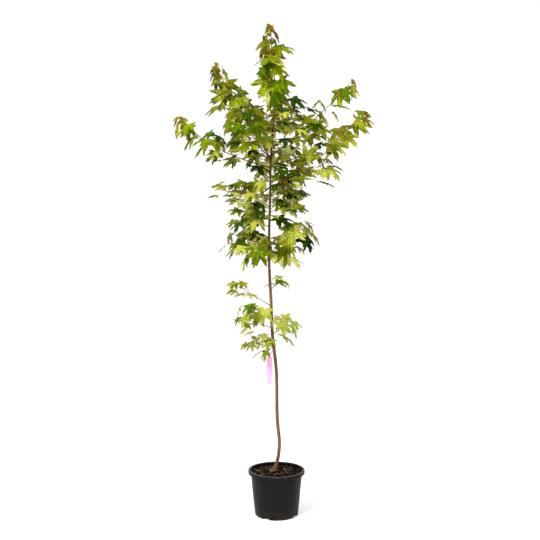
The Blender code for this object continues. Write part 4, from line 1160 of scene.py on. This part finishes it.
# %% The body of the mix
SHOULDER, SOIL_FALL = 0.100, 0.005
HUMPS, SETTLED = ((0.0022, 0.014, 11), (0.0016, 0.006, 12)), 0.0016      # height, size, seed
soil_edge = SOIL_TOP - SOIL_FALL
edge_radius = POT_BASE + (POT_TOP - POT_BASE) * (soil_edge - ROUNDING) / (skirt - ROUNDING) - WALL - GAP
top_radii = np.linspace(edge_radius, 0.004, 44)


def soil_height(far):
    """The mix is level out to its shoulder, and falls evenly from there to the pot's wall."""
    return SOIL_TOP - SOIL_FALL * np.clip((far - SHOULDER) / (edge_radius - SHOULDER), 0, 1)


inset = WALL + GAP
soil_profile = np.concatenate([run((0.0, FLOOR + GAP), (POT_BASE - inset, FLOOR + GAP),
                                   (POT_BASE - inset, ROUNDING)),
                               np.stack([top_radii, soil_height(top_radii)], -1), run((0.0, SOIL_TOP))])
soil_points, soil_faces = turned(soil_profile, POT_STEPS)
soil_points = notched(soil_points)
hump = sum(height * ripple(soil_points, size, seed) for height, size, seed in HUMPS)
on_top = soil_points[:, 2] > soil_edge + GAP
soil_points[:, 2] += np.where(on_top, hump - SETTLED, 0.0)

peat = Finish("peat", Roughness=0.95, Specular_IOR_Level=0.01)
crumbs = peat.noise(240.0, 5.0, 0.7)
peat.set(Base_Color=peat.mix(peat.step(crumbs, 0.35, 0.70), "#040302", "#120c09"))
peat.bump(crumbs, 0.0015)
make_piece("soil_body", soil_points, soil_faces, [peat], "soil", ["soil"])

# %% The chips
# for each kind: how many, least and most length, deep and light colour
CHIP_KINDS = {"chips_dark": (1500, 0.004, 0.015, "#090605", "#140e0b"),
              "chips_brown": (620, 0.004, 0.010, "#2e2018", "#584234"),
              "chips_tan": (230, 0.004, 0.009, "#6e5642", "#a88e74")}
EDGE_ROOM = 0.004             # between the farthest chip's middle and the pot's wall
LONG_SHARE, LONGER = 0.2, 1.3
CHIP_WIDTH, CHIP_HEIGHT = (0.3, 0.6), (0.12, 0.3)             # shares of its length
CHIP_STRAY, CHIP_PITCH, CHIP_LIE = 0.0004, 0.30, (-0.0015, 0.0030)
# a splinter: two cross-sections of four points and a pointed end at each side
BACK_SECTION = ((-0.5, -0.4), (0.5, -0.5), (0.4, 0.5), (-0.4, 0.4))
FRONT_SECTION = ((-0.4, -0.5), (0.5, -0.3), (0.5, 0.4), (-0.5, 0.5))
splinter = np.array([(-0.5, 0, 0), *[(-0.28, *point) for point in BACK_SECTION],
                     *[(0.25, *point) for point in FRONT_SECTION], (0.5, 0.1, 0.1)])
# its points as ring_faces counts them: the two cross-sections, then the ends
splinter_faces = np.array([*range(1, 9), 0, 9])[ring_faces(2, 4)]


def chips(count, least, most, seed):
    """Splinters of seeded length, width and turn, laid nearly flat in and on the mix."""
    rng = np.random.default_rng(seed)
    far = (edge_radius - EDGE_ROOM) * np.sqrt(rng.uniform(0, 1, count))
    turn = rng.uniform(0, TURN, count)
    length = rng.uniform(least, most, count) * np.where(rng.random(count) < LONG_SHARE, LONGER, 1.0)
    width, height = (rng.uniform(*share, count) for share in (CHIP_WIDTH, CHIP_HEIGHT))
    points = splinter * np.stack([length, length * width, length * height], -1)[:, None]
    points = points + rng.normal(0, CHIP_STRAY, points.shape)
    pitch, spin = rng.normal(0, CHIP_PITCH, count)[:, None], rng.uniform(0, TURN, count)[:, None]
    x, y, z = (points[..., i] for i in range(3))
    x, z = x * np.cos(pitch) - z * np.sin(pitch), x * np.sin(pitch) + z * np.cos(pitch)
    x, y = x * np.cos(spin) - y * np.sin(spin), x * np.sin(spin) + y * np.cos(spin)
    ground = soil_height(far) + rng.uniform(*CHIP_LIE, count)
    middle = np.stack([far * np.cos(turn), far * np.sin(turn), ground], -1)
    points = np.stack([x, y, z], -1) + middle[:, None]
    return points.reshape(-1, 3), many(splinter_faces, count, len(splinter))


for number, (name, (count, least, most, deep, light)) in enumerate(CHIP_KINDS.items()):
    bark_chip = Finish(name + "_finish", Roughness=0.85, Specular_IOR_Level=0.02)
    fibre = bark_chip.noise(90.0, 4.0, 0.6)
    bark_chip.set(Base_Color=bark_chip.mix(bark_chip.step(fibre, 0.36, 0.66), deep, light))
    bark_chip.bump(fibre, 0.0010)
    make_piece(name, *chips(count, least, most, 40 + number), [bark_chip], "soil", ["soil"], crease=30)

# %% Small green sprouts near the trunk's foot
SPROUTS = ((-0.025, -0.026), (-0.011, -0.014), (0.004, -0.005), (0.043, 0.002), (-0.031, -0.012))
SPROUT_HEIGHT, SPROUT_LEAF, SPROUT_LIFT, SPROUT_SAG = (0.006, 0.012), (0.0040, 0.0065), 0.35, 0.2
sprout_parts = []
for number, (x, y) in enumerate(SPROUTS):
    rng = random.Random("sprout %d" % number)
    stem_top = np.array((x, y, SOIL_TOP + rng.uniform(*SPROUT_HEIGHT)))
    turn = rng.uniform(0, TURN)
    for side in range(4):
        way = turn + side * 0.5 * math.pi
        level = np.array((math.cos(way), math.sin(way), 0.0))
        midrib, face = unit(level + SPROUT_LIFT * UP), unit(UP - SPROUT_LIFT * level)
        leaf = Leaf(stem_top, stem_top, midrib, face, rng.uniform(*SPROUT_LEAF), SPROUT_SAG, 1.0)
        sprout_parts.append(Grown(leaf, None, 0, "sprout"))
stems = np.array([np.linspace((x, y, SOIL_TOP - BURIED), (x + 0.001, y, SOIL_TOP + 0.010), 4)
                  for x, y in SPROUTS])
sprout_green = Finish("sprout_finish", Roughness=0.6, Specular_IOR_Level=0.05)
sprout_green.set(Base_Color=sprout_green.mix(sprout_green.noise(200.0), "#46600c", "#7a9018"))
sprout_mesh = joined(blades(sprout_parts, 77), tubes(stems, np.full((len(SPROUTS), 4), 0.0007), 5,
                                                     np.array((1.0, 0.0, 0.0))))
make_piece("sprouts", *sprout_mesh, [sprout_green], "leaves")

# %% [markdown]
# ## The label
# A strip of soft pink film hangs by a strap from a loop round the trunk. The loop is a small band carried
# round the trunk. The strip is a flat surface of two parameters, across and along: it is narrowed to a
# round end, arched a little across, and bent slightly along, as thin film is. Solidify gives it its
# thickness. The label is blank.

# %% The loop and its strap
LOOP_HEIGHT, LOOP_BAND, LOOP_WALL = 0.800, 0.0035, 0.0014
LOOP_STEPS, BAND_STEPS = 48, 10
TRUNK_SIDES = 10              # of the CAD model's trunk, whose corners the loop clears
STRIP_WIDTH, STRIP_LENGTH, STRIP_THICKNESS, STRIP_TOP, STRIP_X = 0.025, 0.138, 0.0008, 0.768, -0.0350
STRAP_WIDTH, STRAP_THICKNESS, STRAP_BOW = 0.0040, 0.0010, 0.003
STRAP_RINGS, STRAP_SIDES = 16, 12
SIDEWAYS, FORWARD = np.array((1.0, 0.0, 0.0)), np.array((0.0, 1.0, 0.0))

loop_middle, _, loop_radius = on_trunk(LOOP_HEIGHT)
loop_inner = (loop_radius + GAP) / math.cos(math.pi / TRUNK_SIDES)
band_turn = np.arange(BAND_STEPS) * TURN / BAND_STEPS
band = np.stack([loop_inner + 0.5 * LOOP_WALL * (1 + np.cos(band_turn)),
                 0.5 * LOOP_BAND * np.sign(np.sin(band_turn)) * np.abs(np.sin(band_turn)) ** 0.5], -1)
loop_points = (carried_round(band, LOOP_STEPS) + loop_middle).reshape(-1, 3)
loop_faces = grid_faces(BAND_STEPS, LOOP_STEPS, join_rows=True, join_columns=True)

strap_start = loop_middle - SIDEWAYS * (loop_inner + 0.5 * LOOP_WALL)
strap_end = np.array((STRIP_X, loop_middle[1], STRIP_TOP + STRAP_WIDTH))
t = np.linspace(0, 1, STRAP_RINGS)[:, None]
strap_path = strap_start * (1 - t) + strap_end * t - SIDEWAYS * STRAP_BOW * 4 * t * (1 - t)
a = np.arange(STRAP_SIDES)[:, None] * TURN / STRAP_SIDES
strap_side = unit(np.cross(np.gradient(strap_path, axis=0), FORWARD))[:, None]
oval = 0.5 * STRAP_WIDTH * np.cos(a) * strap_side + 0.5 * STRAP_THICKNESS * np.sin(a) * FORWARD
strap_points = (strap_path[:, None] + oval).reshape(-1, 3)
strap_mesh = (np.concatenate([strap_points, strap_path[:1], strap_path[-1:]]),
              ring_faces(STRAP_RINGS, STRAP_SIDES)[:, ::-1])
magenta = Finish("loop_film", Roughness=0.38)
shade = magenta.noise(160.0, 3.0)
magenta.set(Base_Color=magenta.mix(shade, "#c21a78", "#d6489a"), Roughness=0.30 + shade * 0.2)
make_piece("label_band", *joined((loop_points, loop_faces), strap_mesh), [magenta], "label_loop",
           ["label_loop"])

# %% The strip
STRIP_COLUMNS, STRIP_ROWS = 13, 61
ROUND_FROM = 0.90             # the share of its length where the round end begins
LEAD, LEAD_NARROW = 0.03, 0.35          # its first share, and how much narrower it starts
ARCH, SWAY = 0.0014, 0.0030
u, v = np.meshgrid(np.linspace(-1, 1, STRIP_COLUMNS), np.linspace(0, 1, STRIP_ROWS), indexing="xy")
past = np.clip((v - ROUND_FROM) / (1 - ROUND_FROM), 0, 0.995)
lead = np.clip((LEAD - v) / LEAD, 0, 1)
half_width = 0.5 * STRIP_WIDTH * np.sqrt(1 - past ** 2) * (1 - LEAD_NARROW * lead)
arch = ARCH * (1 - u ** 2)
sway = SWAY * (np.sin(v * math.pi) - v)
strip_top = STRIP_TOP + 2 * STRAP_WIDTH
front = loop_middle[1] - 0.5 * (STRAP_THICKNESS + STRIP_THICKNESS) - GAP
strip_points = np.stack([STRIP_X + u * half_width, front - arch + sway, strip_top - v * STRIP_LENGTH], -1)
strip_faces = grid_faces(STRIP_ROWS, STRIP_COLUMNS)[:, ::-1]
pink = Finish("strip_film", Roughness=0.40, Specular_IOR_Level=0.3)
cloud = pink.noise(60.0, 3.0)
pink.set(Base_Color=pink.mix(cloud, "#d68cc6", "#e2a4d2"), Roughness=0.32 + cloud * 0.2)
pink.bump(cloud, 0.0004)
strip = make_piece("label_film", strip_points.reshape(-1, 3), strip_faces, [pink], "label", ["label_strip"])
film = strip.modifiers.new("film", "SOLIDIFY")
film.thickness, film.offset = 0.0006, 0.0

# %% Bringing the scene up to date
bpy.context.view_layer.update()
